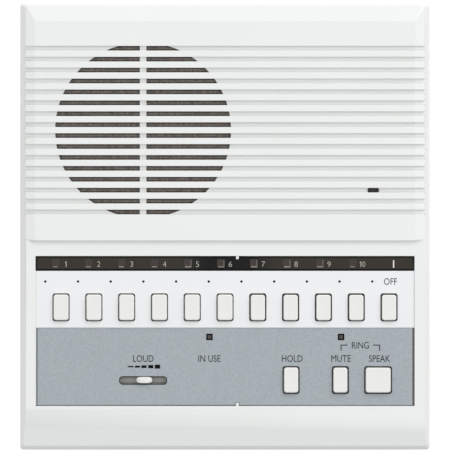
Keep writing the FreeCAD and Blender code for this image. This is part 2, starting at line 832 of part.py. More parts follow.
def make_plates():
    """Smoked lamp window, selector plate with its row of keys, and the control plate."""
    make_plate("indicator_window", "recess_rear_y", "window_front_y", "plate_gap / 2", "0",
               notch="recess_rear_y")

    selector = make_plate("selector_plate", "window_front_y", "selector_front_y", "0", "0")
    opening = sketch_on(selector, "top", RECESS_FLOOR)
    draw_rounded(opening, "-(key_count - 1) / 2 * key_pitch", "key_row_y",
                 "key_width + 2 * key_gap", "key_length + 2 * key_gap", "key_corner")
    openings = extrude(selector, "Pocket", opening, "plate_thickness", up=True)
    repeat_along(selector, openings, "X_Axis", "key_pitch", "key_count")

    control = make_plate("control_plate", "selector_front_y", "recess_front_y", "plate_gap / 2",
                         "plate_gap", notch="recess_front_y")
    openings = sketch_on(control, "top", RECESS_FLOOR)
    for _name, x, width, length in FUNCTION_KEYS:
        draw_rounded(openings, x, "function_row_y", f"{width} + 2 * key_gap",
                     f"{length} + 2 * key_gap", "key_corner")
    draw_rounded(openings, "volume_x", "volume_y", "volume_slot_length", "volume_slot_height",
                 "volume_slot_height * 0.4")
    for x in ("busy_x", "call_x"):
        draw_rectangle(openings, x, "lamp_y", "lamp_hole", "lamp_hole")
    extrude(control, "Pocket", openings, "plate_thickness", up=True)


# ---- Keys and switches ------------------------------------------------------------------

def make_key(name, x, y, width, length):
    """A key cap: retaining flange, cap with rounded top edge and a socket for the plunger."""
    body = new_body(f"{name}_key")
    place(body, x, y, "0")
    flange = sketch_on(body, "top", "flange_top - flange_thickness")
    draw_rounded(flange, "0", "0", f"{width} + 2 * flange_lip", f"{length} + 2 * flange_lip",
                 "key_corner")
    extrude(body, "Pad", flange, "flange_thickness")
    cap = sketch_on(body, "top", "flange_top")
    draw_rounded(cap, "0", "0", width, length, "key_corner")
    extrude(body, "Pad", cap, "key_top - flange_top")
    socket = sketch_on(body, "top", "flange_top - flange_thickness")
    draw_rectangle(socket, "0", "0", "plunger_width + plunger_fit", "plunger_length + plunger_fit")
    extrude(body, "Pocket", socket, "socket_depth", up=True)
    fillet_level(body, "key_top", "key_edge")


def make_plunger(name, x, y):
    """The switch plunger under a key, with the notch that a latch bar catches."""
    top = "flange_top - flange_thickness + socket_depth"
    stem = block(x, y, "plunger_bottom", "plunger_width", "plunger_length",
                 f"{top} - plunger_bottom")
    notch = block(f"{x} + plunger_width / 2", y, "notch_bottom", "2 * notch_depth",
                  "plunger_length + 1", "notch_height")
    finish_piece(cut(stem, [notch]), f"{name}_plunger")


def make_wells(x, y):
    """The well in a switch body that guides a plunger."""
    return block(x, y, "well_bottom", "plunger_width + 2 * well_gap",
                 "plunger_length + 2 * well_gap", "switch_top - well_bottom + 1")


def make_selector_switch():
    """The long switch frame under the selector keys, and the bar that latches one of them."""
    y = "key_row_y"
    parts = [block("0", y, BOARD_TOP, "switch_frame_width", "switch_frame_length",
                   f"switch_top - {BOARD_TOP}")]
    for side in SIDES:
        rail_y = f"{y} + {side} * (latch_width / 2 + rail_gap + rail_wall / 2)"
        parts.append(block("0", rail_y, "switch_top", "switch_frame_width", "rail_wall",
                           "rail_top - switch_top"))
        parts.append(block(f"{side} * bridge_x", y, "rail_top", "bridge_width",
                           "latch_width + 2 * rail_gap + 2 * rail_wall", "bridge_height"))
    wells = [make_wells(x, y) for _name, x in key_positions()]
    finish_piece(cut(fused(parts), wells), "switch_frame")

    bar = block("0", y, "latch_bottom", "latch_length", "latch_width", "latch_thickness")
    windows = []
    for _name, x in key_positions():
        windows.append(block(f"{x} - latch_travel / 2", y, "latch_bottom - 1",
                             "plunger_width + latch_travel + 2 * well_gap",
                             "plunger_length + 2 * well_gap", "latch_thickness + 2"))
    finish_piece(cut(bar, windows), "latch_bar")


def make_keys():
    for name, x in key_positions():
        make_key(name, x, "key_row_y", "key_width", "key_length")
        make_plunger(name, x, "key_row_y")
    for name, x, width, length in FUNCTION_KEYS:
        make_key(name, x, "function_row_y", width, length)
        make_plunger(name, x, "function_row_y")
        switch = block(x, "function_row_y", BOARD_TOP, "switch_width", "switch_length",
                       f"switch_top - {BOARD_TOP}")
        finish_piece(cut(switch, [make_wells(x, "function_row_y")]), f"{name}_switch")


def make_volume_slider():
    """Slide potentiometer, its lever with the dust shutter, and the thumb knob."""
    pot = block("volume_x", "volume_y", BOARD_TOP, "pot_length", "pot_width", "pot_height")
    track = block("volume_x", "volume_y", f"{BOARD_TOP} + pot_height - pot_slot_depth",
                  "pot_slot_length", "pot_slot_width", "pot_slot_depth + 1")
    finish_piece(cut(pot, [track]), "volume_pot")

    shutter = block("knob_x", "volume_y", "shutter_bottom", "shutter_length", "shutter_width",
                    "shutter_thickness")
    lever = block("knob_x", "volume_y", "lever_bottom", "lever_length", "lever_width",
                  "lever_top - lever_bottom")
    finish_piece(fused([shutter, lever]), "volume_slider")

    knob = new_body("volume_knob")
    place(knob, "knob_x", "volume_y", "0")
    foot_level = "shutter_bottom + shutter_thickness"
    side = sketch_on(knob, "front")
    draw_knob_outline(side, foot_level)
    extrude(knob, "Pad", side, "knob_width", both_ways=True)
    socket = sketch_on(knob, "top", foot_level)
    draw_rectangle(socket, "0", "0", "lever_length + lever_fit", "lever_width + lever_fit")
    extrude(knob, "Pocket", socket, f"lever_top - ({foot_level}) + lever_fit", up=True)


def draw_knob_outline(sketch, foot_level):
    """A thumb knob seen from the front: flat foot, straight ends and a crowned top."""
    half, shoulder, low = size("knob_length") / 2, size("knob_shoulder"), size(foot_level)
    rise = "(knob_crest - knob_shoulder)"
    crown = f"(knob_length * knob_length / 4 + {rise} * {rise}) / (2 * {rise})"
    radius = size(crown)
    lean = math.asin(half / radius)
    centre = Vector(0, size("knob_crest") - radius, 0)
    circle = Part.Circle(centre, Vector(0, 0, 1), radius)
    sketch.addGeometry(Part.ArcOfCircle(circle, math.pi / 2 - lean, math.pi / 2 + lean), False)
    corners = [Vector(-half, shoulder, 0), Vector(-half, low, 0), Vector(half, low, 0),
               Vector(half, shoulder, 0)]
    for start, end in zip(corners, corners[1:]):
        sketch.addGeometry(Part.LineSegment(start, end), False)
    for index in range(4):
        following = (index + 1) % 4
        sketch.addConstraint(Sketcher.Constraint("Coincident", index, 2, following, 1))
    fix_point(sketch, 1, 1, "-knob_length / 2", "knob_shoulder")
    fix_point(sketch, 2, 1, "-knob_length / 2", foot_level)
    fix_point(sketch, 3, 1, "knob_length / 2", foot_level)
    fix_point(sketch, 0, 1, "knob_length / 2", "knob_shoulder")
    index = sketch.addConstraint(Sketcher.Constraint("Radius", 0, radius))
    bind(sketch, {f"Constraints[{index}]": crown})


# ---- Lamps, boards and microphone -------------------------------------------------------

def make_boards():
    board = block("0", "board_y", "board_bottom", "board_width", "board_length",
                  "board_thickness")
    holes = []
    for side in SIDES:
        for y in ("board_boss_rear_y", "board_boss_front_y"):
            holes.append(rod(f"{side} * board_boss_x", y, "board_bottom - 1", "board_hole_radius",
                             "board_thickness + 2"))
    finish_piece(cut(board, holes), "main_board")

    spots = (("-76", "-58"), ("-64", "-58"), ("12", "-64"))
    cans = [rod(x, y, BOARD_TOP, "capacitor_radius", "capacitor_height") for x, y in spots]
    finish_piece(grouped(cans), "filter_capacitors")

    strip = block("lamp_board_x", "station_y", "lamp_board_bottom", "lamp_board_width",
                  "lamp_board_length", "lamp_board_thickness")
    pins = []
    for x in stake_positions():
        pins.append(rod(x, "station_y", "lamp_board_bottom - 1",
                        "stake_pin_radius + well_gap / 2", "lamp_board_thickness + 2"))
    finish_piece(cut(strip, pins), "lamp_board")


def make_lamps():
    lamps = []
    for index in range(SIZES["station_count"]):
        lamps.append(block(f"station_x + {index} * key_pitch", "station_y", LAMP_BOARD_TOP,
                           "station_lamp_width", "station_lamp_length",
                           f"station_lamp_top - {LAMP_BOARD_TOP}"))
    finish_piece(grouped(lamps), "station_lamps")

    for name in ("busy", "call"):
        stand = block(f"{name}_x", "lamp_y", BOARD_TOP, "lamp_stand", "lamp_stand",
                      f"lamp_stand_top - {BOARD_TOP}")
        lens = block(f"{name}_x", "lamp_y", "lamp_stand_top", "lamp_size", "lamp_size",
                     "lamp_top - lamp_stand_top")
        finish_piece(fused([stand, lens]), f"{name}_lamp")


def make_microphone():
    """An electret capsule in a rubber boot behind the slot in the third groove."""
    boot = rod("mic_x", MIC_Y, "mic_boot_bottom", "mic_boot_radius", "bay_ceiling - mic_boot_bottom")
    pocket = rod("mic_x", MIC_Y, "mic_boot_bottom - 1", "mic_radius + mic_fit",
                 "bay_ceiling - mic_boot_bottom - mic_front_wall + 1")
    mouth = rod("mic_x", MIC_Y, "mic_boot_bottom", "mic_hole_radius",
                "bay_ceiling - mic_boot_bottom + 1")
    finish_piece(cut(cut(boot, [pocket]), [mouth]), "mic_boot")
    capsule = rod("mic_x", MIC_Y, "bay_ceiling - mic_front_wall - mic_height", "mic_radius",
                  "mic_height")
    finish_piece(capsule, "mic_capsule")


# ---- Loudspeaker ------------------------------------------------------------------------

def make_speaker():
    """Cloth, pressed basket, magnet, paper cone with its voice coil, and rubber surround."""
    cloth = rod("speaker_x", "speaker_y", "bay_ceiling - cloth_thickness", "cloth_radius",
                "cloth_thickness")
    finish_piece(cloth, "grille_cloth")

    under_flange = "seat_level - flange_sheet"
    basket = new_body("speaker_frame")
    revolve(basket, [
        ("flange_inner", "seat_level"),
        ("seat_ring_radius", "seat_level"),
        ("seat_ring_radius", under_flange),
        ("basket_top_radius", under_flange),
        ("basket_base_radius", "basket_base_level"),
        ("basket_hole_radius", "basket_base_level"),
        ("basket_hole_radius", "basket_base_level + basket_sheet"),
        ("basket_base_radius - basket_sheet * 0.6", "basket_base_level + basket_sheet"),
        ("flange_inner", f"{under_flange} + basket_sheet * 0.5"),
    ])
    window = sketch_on(basket, "top", "basket_base_level + basket_sheet + 1")
    draw_rectangle(window, "(window_inner + window_outer) / 2", "0",
                   "window_outer - window_inner", "window_width")
    windows = extrude(basket, "Pocket", window, f"{under_flange} - basket_base_level", up=True)
    repeat_around(basket, windows, "window_count")

    magnet = new_body("speaker_magnet")
    magnet_top = "basket_base_level"
    revolve(magnet, [
        ("0", "magnet_bottom"),
        ("magnet_radius", "magnet_bottom"),
        ("magnet_radius", f"{magnet_top} - top_plate_thickness"),
        ("top_plate_radius", f"{magnet_top} - top_plate_thickness"),
        ("top_plate_radius", magnet_top),
        ("air_gap_outer", magnet_top),
        ("air_gap_outer", f"{magnet_top} - air_gap_depth"),
        ("air_gap_inner", f"{magnet_top} - air_gap_depth"),
        ("air_gap_inner", magnet_top),
        ("0", magnet_top),
    ])

    cone = new_body("speaker_cone")
    cap_top = "dust_cap_level + dust_cap_rise"
    revolve(cone, [
        ("0", cap_top),
        ("dust_cap_radius * 0.62", f"{cap_top} - 0.7"),
        ("dust_cap_radius", "dust_cap_level"),
        ("cone_radius - cone_lip", "cone_top"),
        ("cone_radius", "cone_top"),
        ("cone_radius", "cone_top - cone_paper"),
        ("cone_radius - cone_lip", "cone_top - cone_paper"),
        ("coil_radius + coil_wall", "cone_neck_level"),
        ("coil_radius", "cone_neck_level"),
        ("coil_radius", "coil_bottom"),
        ("coil_radius - coil_wall", "coil_bottom"),
        ("coil_radius - coil_wall", "cone_neck_level + cone_paper"),
        ("dust_cap_radius - 1", "dust_cap_level - 0.7"),
        ("dust_cap_radius * 0.6", f"{cap_top} - 0.7 - cone_paper"),
        ("0", f"{cap_top} - cone_paper"),
    ])

    surround = new_body("speaker_surround")
    crest = "(surround_flat + surround_inner) / 2"
    revolve(surround, [
        ("surround_outer", "seat_level"),
        ("surround_outer", "seat_level + surround_rubber"),
        ("surround_flat", "seat_level + surround_rubber"),
        (crest, "seat_level + surround_rubber + surround_rise"),
        ("surround_inner", "seat_level + surround_rubber"),
        ("surround_inner", "seat_level"),
        (crest, "seat_level + surround_rise"),
        ("surround_flat - 0.1", "seat_level"),
    ])
    for body in (basket, magnet, cone, surround):
        place(body, "speaker_x", "speaker_y", "0")


def make_inner_fasteners():
    """Clamp washers over the speaker flange, and the screws of the clamps and main board."""
    clamp_top = "seat_level - flange_sheet"
    clamps, screws = [], []
    for side_x in SIDES:
        for side_y in SIDES:
            x = f"speaker_x + {side_x} * clamp_reach"
            y = f"speaker_y + {side_y} * clamp_reach"
            low = f"{clamp_top} - clamp_thickness"
            washer = rod(x, y, low, "clamp_radius", "clamp_thickness")
            hole = rod(x, y, f"{low} - 1", "board_hole_radius", "clamp_thickness + 2")
            clamps.append(cut(washer, [hole]))
            screws.append(screw(x, y, low, "small_screw_radius", "clamp_screw_length",
                                "small_head_radius", "small_head_height"))
    for side in SIDES:
        for y in ("board_boss_rear_y", "board_boss_front_y"):
            screws.append(screw(f"{side} * board_boss_x", y, "board_bottom", "small_screw_radius",
                                "board_screw_length", "small_head_radius", "small_head_height"))
    finish_piece(grouped(clamps), "speaker_clamps")
    finish_piece(grouped(screws), "inner_screws")


# ---- Rear case --------------------------------------------------------------------------

def make_rear_case():
    """The tapered tray that closes the case from below."""
    body = new_body("rear_case")
    tongue_outer = "wall_thickness + tongue_gap"
    inner_width = f"case_width - 2 * ({tongue_outer} + tongue_wall)"
    inner_depth = f"case_depth - 2 * ({tongue_outer} + tongue_wall)"

    back = sketch_on(body, "top", "back_level")
    draw_rounded(back, "0", "0", "back_width", "back_depth", "back_corner")
    rim = sketch_on(body, "top", "parting_level")
    draw_rounded(rim, "0", "0", "rim_width", "rim_depth", "case_corner")
    loft(body, "AdditiveLoft", back, rim)

    floor = sketch_on(body, "top", CAVITY_FLOOR)
    draw_rounded(floor, "0", "0", "back_width - 2 * wall_thickness",
                 "back_depth - 2 * wall_thickness", "back_corner")
    mouth = sketch_on(body, "top", "parting_level")
    draw_rounded(mouth, "0", "0", inner_width, inner_depth, "case_corner")
    loft(body, "SubtractiveLoft", floor, mouth)

    tongue = sketch_on(body, "top", "parting_level")
    draw_rounded(tongue, "0", "0", f"case_width - 2 * ({tongue_outer})",
                 f"case_depth - 2 * ({tongue_outer})", "case_corner")
    draw_rounded(tongue, "0", "0", inner_width, inner_depth, "case_corner")
    extrude(body, "Pad", tongue, "tongue_height")

    rib = sketch_on(body, "top", CAVITY_FLOOR)
    draw_rectangle(rib, "0", "rib_y", "back_width - 2 * wall_thickness", "rib_wall")
    ribs = extrude(body, "Pad", rib, "rib_height")
    repeat_along(body, ribs, "Y_Axis", "rib_spacing", "2")

    bosses = sketch_on(body, "top", "back_level")
    holes = sketch_on(body, "top", "back_level")
    counterbores = sketch_on(body, "top", "back_level")
    foot_seats = sketch_on(body, "top", "back_level")
    for side in SIDES:
        for y in ("case_boss_rear_y", "case_boss_front_y"):
            draw_circle(bosses, f"{side} * case_boss_x", y, "rear_boss_radius")
            draw_circle(holes, f"{side} * case_boss_x", y, "rear_hole_radius")
            draw_circle(counterbores, f"{side} * case_boss_x", y, "counterbore_radius")
        for end in SIDES:
            draw_circle(foot_seats, f"{side} * foot_x", f"{end} * foot_y",
                        "foot_radius + foot_seat_gap")
            draw_circle(holes, f"wall_pattern_x + {side} * wall_spacing_x / 2",
                        f"wall_pattern_y + {end} * wall_spacing_y / 2", "wall_hole_radius")
    draw_rounded(holes, "cable_entry_x", "cable_entry_y", "cable_entry_width",
                 "cable_entry_length", "back_corner")
    extrude(body, "Pad", bosses, "parting_level - back_level")
    extrude(body, "Pocket", holes, "parting_level - back_level + 1", up=True)
    extrude(body, "Pocket", counterbores, "counterbore_level - back_level", up=True)
    extrude(body, "Pocket", foot_seats, "foot_seat_depth", up=True)

    vent = sketch_on(body, "top", "back_level")
    draw_rounded(vent, "speaker_x", "vent_first_y", "vent_length", "vent_height",
                 "vent_height * 0.49")
    vents = extrude(body, "Pocket", vent, "back_thickness", up=True)
    repeat_along(body, vents, "Y_Axis", "vent_pitch", "vent_count")


def make_feet_and_case_screws():
    feet, screws = [], []
    for side in SIDES:
        for end in SIDES:
            foot = doc.addObject("Part::Cone", "foot")
            bind(foot, {"Radius1": "foot_radius - foot_taper", "Radius2": "foot_radius",
                        "Height": "back_level + foot_seat_depth"})
            place(foot, f"{side} * foot_x", f"{end} * foot_y", "0")
            feet.append(foot)
        for y in ("case_boss_rear_y", "case_boss_front_y"):
            screws.append(screw(f"{side} * case_boss_x", y, "counterbore_level",
                                "case_screw_radius", "case_screw_length", "case_head_radius",
                                "case_head_height"))
    finish_piece(grouped(feet), "rubber_feet")
    finish_piece(grouped(screws), "case_screws")


def make_terminal_block():
    """Two rows of screw terminals beside the cable entry, one for each line."""
    body = block("terminal_x", "terminal_y", CAVITY_FLOOR, "terminal_width", "terminal_length",
                 "terminal_height")
    well_floor = f"{CAVITY_FLOOR} + terminal_height - terminal_well_depth"
    wells, screws = [], []
    for column in range(SIZES["terminal_count"]):
        x = f"terminal_x + ({column} - (terminal_count - 1) / 2) * terminal_pitch"
        for side in SIDES:
            y = f"terminal_y + {side} * terminal_row_gap / 2"
            wells.append(rod(x, y, well_floor, "terminal_well_radius", "terminal_well_depth + 1"))
            screws.append(rod(x, y, well_floor, "terminal_screw_radius", "terminal_screw_height"))
    finish_piece(cut(body, wells), "terminal_block")
    finish_piece(grouped(screws), "terminal_screws")


# ---- Build, check and write -------------------------------------------------------------

def check_document():
    doc.recompute()
    for item in doc.Objects:
        if "Invalid" in item.State or "Error" in item.State:
            raise RuntimeError(f"{item.Label} failed: {item.State}")
    for piece in pieces:
        if piece.Shape.isNull() or not piece.Shape.isValid():
            raise RuntimeError(f"{piece.Label} has no valid shape")


def write_parts():
    os.makedirs("parts", exist_ok=True)
    for piece in pieces:
        piece.Shape.exportStep(f"parts/{piece.Label}.step")
        box = piece.Shape.BoundBox
        print(f"{piece.Label:20s} {len(piece.Shape.Solids):2d} solids  "
              f"{box.XLength:7.2f} {box.YLength:7.2f} {box.ZLength:6.2f}")


fill_sheet()
make_front_cover()
make_plates()
make_keys()
make_selector_switch()
make_volume_slider()
make_boards()
make_lamps()
make_microphone()
make_speaker()
make_inner_fasteners()
make_rear_case()
make_feet_and_case_screws()
make_terminal_block()
check_document()
write_parts()
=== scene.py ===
# %% [markdown]
# # Dressing a ten-station desk intercom
# The exact solids of the intercom are already built: cover, plates, keys, switches, loudspeaker
# and rear case. This lesson loads them as a fixed frame, gives each one the finish of its real
# material, and replaces those that a plain solid can't show well, such as key caps with soft
# edges, a crowned thumb knob and woven grille cloth. Everything is in the frame of the solids:
# X to the user's right, Y away from the user and Z up out of the key panel. Places and sizes
# are written in millimetres, and MM turns them into Blender's metres.

# %% Load the solids and keep their box
import math

import bpy
import numpy as np
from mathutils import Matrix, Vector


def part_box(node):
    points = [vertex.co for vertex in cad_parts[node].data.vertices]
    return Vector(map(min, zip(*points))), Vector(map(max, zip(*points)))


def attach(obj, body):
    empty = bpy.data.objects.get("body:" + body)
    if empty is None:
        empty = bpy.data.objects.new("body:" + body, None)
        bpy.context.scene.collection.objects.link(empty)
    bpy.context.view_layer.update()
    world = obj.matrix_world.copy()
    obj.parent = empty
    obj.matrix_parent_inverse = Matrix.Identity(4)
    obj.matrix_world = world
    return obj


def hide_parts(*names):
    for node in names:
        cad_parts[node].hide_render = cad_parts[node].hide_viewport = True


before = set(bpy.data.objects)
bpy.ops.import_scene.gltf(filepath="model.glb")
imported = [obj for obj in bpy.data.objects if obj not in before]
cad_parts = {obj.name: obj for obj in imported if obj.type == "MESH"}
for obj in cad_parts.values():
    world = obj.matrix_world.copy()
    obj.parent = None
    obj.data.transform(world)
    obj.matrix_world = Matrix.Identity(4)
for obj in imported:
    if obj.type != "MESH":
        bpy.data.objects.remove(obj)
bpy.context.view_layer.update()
MM = 0.001


# %% [markdown]
# ## The camera
# The intercom lies face up and the camera looks straight down on it from far away, through a
# long lens, so the keys near the edge show no more of their sides than those in the middle.
# The lens follows from similar triangles: the picture is 214 mm wide at the level of the panel,
# and the sensor is 36 mm wide.

# %% Camera
PANEL_LEVEL = 52.5
PICTURE_WIDTH = 214.02
SENSOR_WIDTH = 36.0
CAMERA_PLACE = (0.0, 0.67, 6000.0)

camera_data = bpy.data.cameras.new("long_lens")
camera_data.lens = SENSOR_WIDTH * (CAMERA_PLACE[2] - PANEL_LEVEL) / PICTURE_WIDTH
camera = bpy.data.objects.new("camera", camera_data)
camera.location = [v * MM for v in CAMERA_PLACE]
bpy.context.scene.collection.objects.link(camera)
bpy.context.scene.camera = camera
bpy.context.scene.view_settings.view_transform = "Standard"
print("lens", round(camera_data.lens, 1), "mm")

# %% [markdown]
# ## Colours and nodes
# A colour is written as the hex code that a screen shows. Shaders add light in linear values,
# so one function turns the code to linear. A second one adds a node, with its settings, its
# sockets' values and its links in one call, which keeps each material to a few lines that read
# in the order in which the surface is built up. The sockets of the shader, which is there from
# the start, are filled by the same small function.

# %% Colour and node helpers
def srgb(code):
    """A hex colour as linear light: c / 12.92 if dark, else ((c + 0.055) / 1.055) ** 2.4."""
    parts = np.array([int(code[i:i + 2], 16) for i in (1, 3, 5)]) / 255.0
    linear = np.where(parts <= 0.04045, parts / 12.92, ((parts + 0.055) / 1.055) ** 2.4)
    return (*linear.tolist(), 1.0)


def fill(node, sockets):
    """Gives inputs their values or links. A node given as a value links its first output."""
    for name, value in sockets.items():
        if isinstance(value, bpy.types.Node):
            value = next(output for output in value.outputs if output.enabled)
        if isinstance(value, bpy.types.NodeSocket):
            node.id_data.links.new(value, node.inputs[name])
        else:
            node.inputs[name].default_value = value


def add_node(tree, kind, sockets=None, **settings):
    """One shader node with its own settings and with its inputs filled."""
    node = tree.nodes.new("ShaderNode" + kind)
    for name, value in settings.items():
        setattr(node, name, value)
    fill(node, sockets or {})
    return node


def finish(name, sockets):
    """A material with one Principled shader. Returns the material, its tree and the shader."""
    material = bpy.data.materials.new(name)
    material.use_nodes = True
    shader = material.node_tree.nodes["Principled BSDF"]
    fill(shader, sockets)
    return material, material.node_tree, shader


def repeats(size):
    """Scale of a noise for a feature of this size: how many of it go into a metre."""
    return 1000.0 / size


print("white as a screen shows it at #EFF1F0 is", [round(v, 3) for v in srgb("#EFF1F0")])

# %% [markdown]
# ## Studio
# The case stands in a light tent: a plain white surround that is dimmer on the near side and a
# little on the left. Nothing in it has an edge, so nothing on the case gets a hard shadow, and
# that slow change of light draws the louvres and the front slope, which turn a little away from
# the bright side. For a ray that leaves a surface the tent's strength is TENT_LEVEL plus
# TENT_FALL times the dot product of the ray's direction and TENT_WAY, where that is below zero.
# One broad soft lamp behind the case and a little to its right gives a level surface LAMP_SHARE
# of the light that a white surround would, and keeps the far bevel and the right side bright.
# The levels are set so that a level surface renders about as its colour is written.

# %% Light tent and lamp
TENT_LEVEL = 0.99
TENT_FALL = 1.5
TENT_WAY = (0.055, 0.41, 0.0)
LAMP_SHARE = 0.185
LAMP_WAY = np.array([0.18, 0.28, 0.22])
LAMP_DISTANCE = 2.4
LAMP_SIZE = (2.4, 0.9)
WHITE = (1.0, 1.0, 1.0, 1.0)


def seen_directly(tree):
    """1 for a ray from the camera, a gloss or a clear part, and 0 for one that only lights."""
    rays = add_node(tree, "LightPath")
    seen = rays.outputs["Is Camera Ray"]
    for kind in ("Is Glossy Ray", "Is Transmission Ray"):
        seen = add_node(tree, "Math", {0: seen, 1: rays.outputs[kind]}, operation="MAXIMUM")
    return seen


world = bpy.data.worlds.new("light_tent")
world.use_nodes = True
bpy.context.scene.world = world
tree = world.node_tree
ray_way = add_node(tree, "TexCoord").outputs["Object"]
turned_to = add_node(tree, "VectorMath", {0: ray_way, 1: TENT_WAY}, operation="DOT_PRODUCT")
near_side = add_node(tree, "Math", {0: turned_to.outputs["Value"], 1: 0.0}, operation="MINIMUM")
tent = add_node(tree, "Math", {0: near_side, 1: TENT_FALL, 2: TENT_LEVEL},
                operation="MULTIPLY_ADD")
level = add_node(tree, "Mix", {"Factor": seen_directly(tree), "A": tent, "B": 1.0})
fill(tree.nodes["Background"], {"Color": WHITE, "Strength": level})

lamp_way = LAMP_WAY / np.linalg.norm(LAMP_WAY)
lamp_data = bpy.data.lights.new("softbox", "AREA")
lamp_data.shape = "RECTANGLE"
lamp_data.size, lamp_data.size_y = LAMP_SIZE
lamp_data.energy = LAMP_SHARE * math.pi ** 2 * LAMP_DISTANCE ** 2 / lamp_way[2]
lamp = bpy.data.objects.new("softbox", lamp_data)
lamp.location = (lamp_way * LAMP_DISTANCE).tolist()
lamp.rotation_mode = "QUATERNION"
lamp.rotation_quaternion = lamp.location.to_track_quat("Z", "Y")
bpy.context.scene.collection.objects.link(lamp)
print("tent", TENT_LEVEL, TENT_WAY, "softbox", round(lamp_data.energy, 1), "W")

# %% [markdown]
# ## Table
# The case stands on a pale painted table. More light would make the table white and bleach the
# case, so the table glows a little by itself, but only for a ray that sees it directly. Such a
# glow throws no light on the case, and the case's shadow still shows on the table.

# %% Table
TABLE_GLOW = 0.67

material, tree, shader = finish("painted_table", {"Base Color": srgb("#C6C6C4"), "Roughness": 0.6,
                                                  "Emission Color": WHITE})
glow = add_node(tree, "MapRange", {"Value": seen_directly(tree), "To Max": TABLE_GLOW})
fill(shader, {"Emission Strength": glow})

table = bpy.data.meshes.new("table")
table.from_pydata([(-3, -3, 0), (3, -3, 0), (3, 3, 0), (-3, 3, 0)], [], [(0, 1, 2, 3)])
table.materials.append(material)
table_top = bpy.data.objects.new("table_top", table)
bpy.context.scene.collection.objects.link(table_top)
print("table", len(table.polygons), "face")

# %% [markdown]
# ## Moulded ABS
# The cover, the rear case, the keys and the thumb knob are injection-moulded ABS. The mould is
# spark-eroded, which leaves a very fine even grain, so the highlight is wide and dull. Keys are
# moulded in a polished mould and are a little glossier. A picture of such a surface would fit
# one size of part only, so the grain is a noise in the solid's own coordinates, which has the
# same real size on every part. The grain of a real case is about a tenth of a millimetre, and
# is drawn at 0.35 mm here so that it shows in a close view.

# %% White ABS finishes
GRAIN = 0.35
COVER_ABS = ("#ECEEED", "#E8EAE8", 0.46, 0.012)


def moulded_abs(name, colour, shade, roughness, grain_height):
    """Moulded plastic: faint cloudy colour, uneven gloss and a fine spark-eroded grain."""
    material, tree, shader = finish(name, {"IOR": 1.54})
    place = add_node(tree, "TexCoord").outputs["Object"]
    cloud = add_node(tree, "TexNoise", {"Vector": place, "Scale": repeats(38.0), "Detail": 3.0,
                                        "Roughness": 0.55})
    tint = add_node(tree, "Mix", {"Factor": cloud, "A": srgb(colour), "B": srgb(shade)},
                    data_type="RGBA")
    gloss = add_node(tree, "MapRange", {"Value": cloud, "To Min": roughness - 0.05,
                                        "To Max": roughness + 0.05})
    grain = add_node(tree, "TexNoise", {"Vector": place, "Scale": repeats(GRAIN), "Detail": 2.0})
    bump = add_node(tree, "Bump", {"Height": grain, "Strength": 0.5,
                                   "Distance": grain_height * MM})
    fill(shader, {"Base Color": tint, "Roughness": gloss, "Normal": bump})
    return material


cover_abs = moulded_abs("moulded_abs_cover", *COVER_ABS)
key_abs = moulded_abs("moulded_abs_key", "#EAEAE7", "#E7E8E5", 0.32, 0.004)
black_abs = moulded_abs("moulded_abs_black", "#1C1C1B", "#20201F", 0.42, 0.012)
print("moulded finishes", [m.name for m in (cover_abs, key_abs, black_abs)])

# %% [markdown]
# ## Painted shade in the grooves
# Sixteen grooves carry the louvres on to both sides of the cover. Their floors get a second,
# darker tint of the cover's plastic, which is painted shade, strongest at their front edges.
# Thin pieces laid in the grooves could show it too, but a mask in the material follows every
# groove at once. A point lies in a groove where its y is among the grooves and where its level,
# with the fall of the side bevel added back, is near the grooves' floor, at 53.1 mm. A slow
# wave with the pitch of the louvres, its crest at the front edges, says how much painted shade
# there is.

# %% Painted shade in the grooves
LOUVRE_PITCH = 5.192
LOUVRE_Y = 6.84
FRONT_EDGE_Y = LOUVRE_Y - 1.1
GROOVES_MIDDLE, GROOVES_HALF = 45.78, 40.65
FLOOR_MIDDLE, FLOOR_HALF = 53.3, 0.6
BEVEL_START, BEVEL_END, BEVEL_FALL = 90.4, 97.5, 2.26


def waves(period):
    """Scale of a wave texture, which at scale 1 repeats every 2 pi / 20 of a metre."""
    return repeats(period) * 2 * math.pi / 20


def crest_at(y, period):
    """Phase that puts a crest of the waves at y: pi * (1 - 2 * y / period)."""
    return math.pi * (1 - 2 * y / period)


def dusty_grooves(material):
    """Mixes painted shade, a darker tint, into the base colour by deep * among * amount, each
    from 0 to 1.
    """
    tree = material.node_tree
    shader = tree.nodes["Principled BSDF"]
    clean = shader.inputs["Base Color"].links[0].from_socket
    place = add_node(tree, "TexCoord").outputs["Object"]
    x, y, z = add_node(tree, "SeparateXYZ", {"Vector": place}).outputs
    aside = add_node(tree, "Math", {0: x}, operation="ABSOLUTE")
    fall = add_node(tree, "MapRange", {"Value": aside, "From Min": BEVEL_START * MM,
                                       "From Max": BEVEL_END * MM, "To Max": BEVEL_FALL * MM})
    level = add_node(tree, "Math", {0: z, 1: fall}, operation="ADD")
    deep = add_node(tree, "Math", {0: level, 1: FLOOR_MIDDLE * MM, 2: FLOOR_HALF * MM},
                    operation="COMPARE")
    among = add_node(tree, "Math", {0: y, 1: GROOVES_MIDDLE * MM, 2: GROOVES_HALF * MM},
                     operation="COMPARE")
    wave = add_node(tree, "TexWave", {"Vector": place, "Scale": waves(LOUVRE_PITCH),
                                      "Phase Offset": crest_at(FRONT_EDGE_Y, LOUVRE_PITCH)},
                    bands_direction="Y")
    amount = add_node(tree, "MapRange", {"Value": wave.outputs["Fac"], "From Min": 0.7,
                                         "To Min": 0.15})
    share = add_node(tree, "Math", {0: deep, 1: among}, operation="MULTIPLY")
    share = add_node(tree, "Math", {0: share, 1: amount}, operation="MULTIPLY")
    # painted shade: a darker tint on the groove floors, most at their front edges
    painted_shade = add_node(tree, "Mix", {"Factor": share, "A": clean, "B": srgb("#D8DAD8")},
                     data_type="RGBA")
    fill(shader, {"Base Color": painted_shade})
    return material


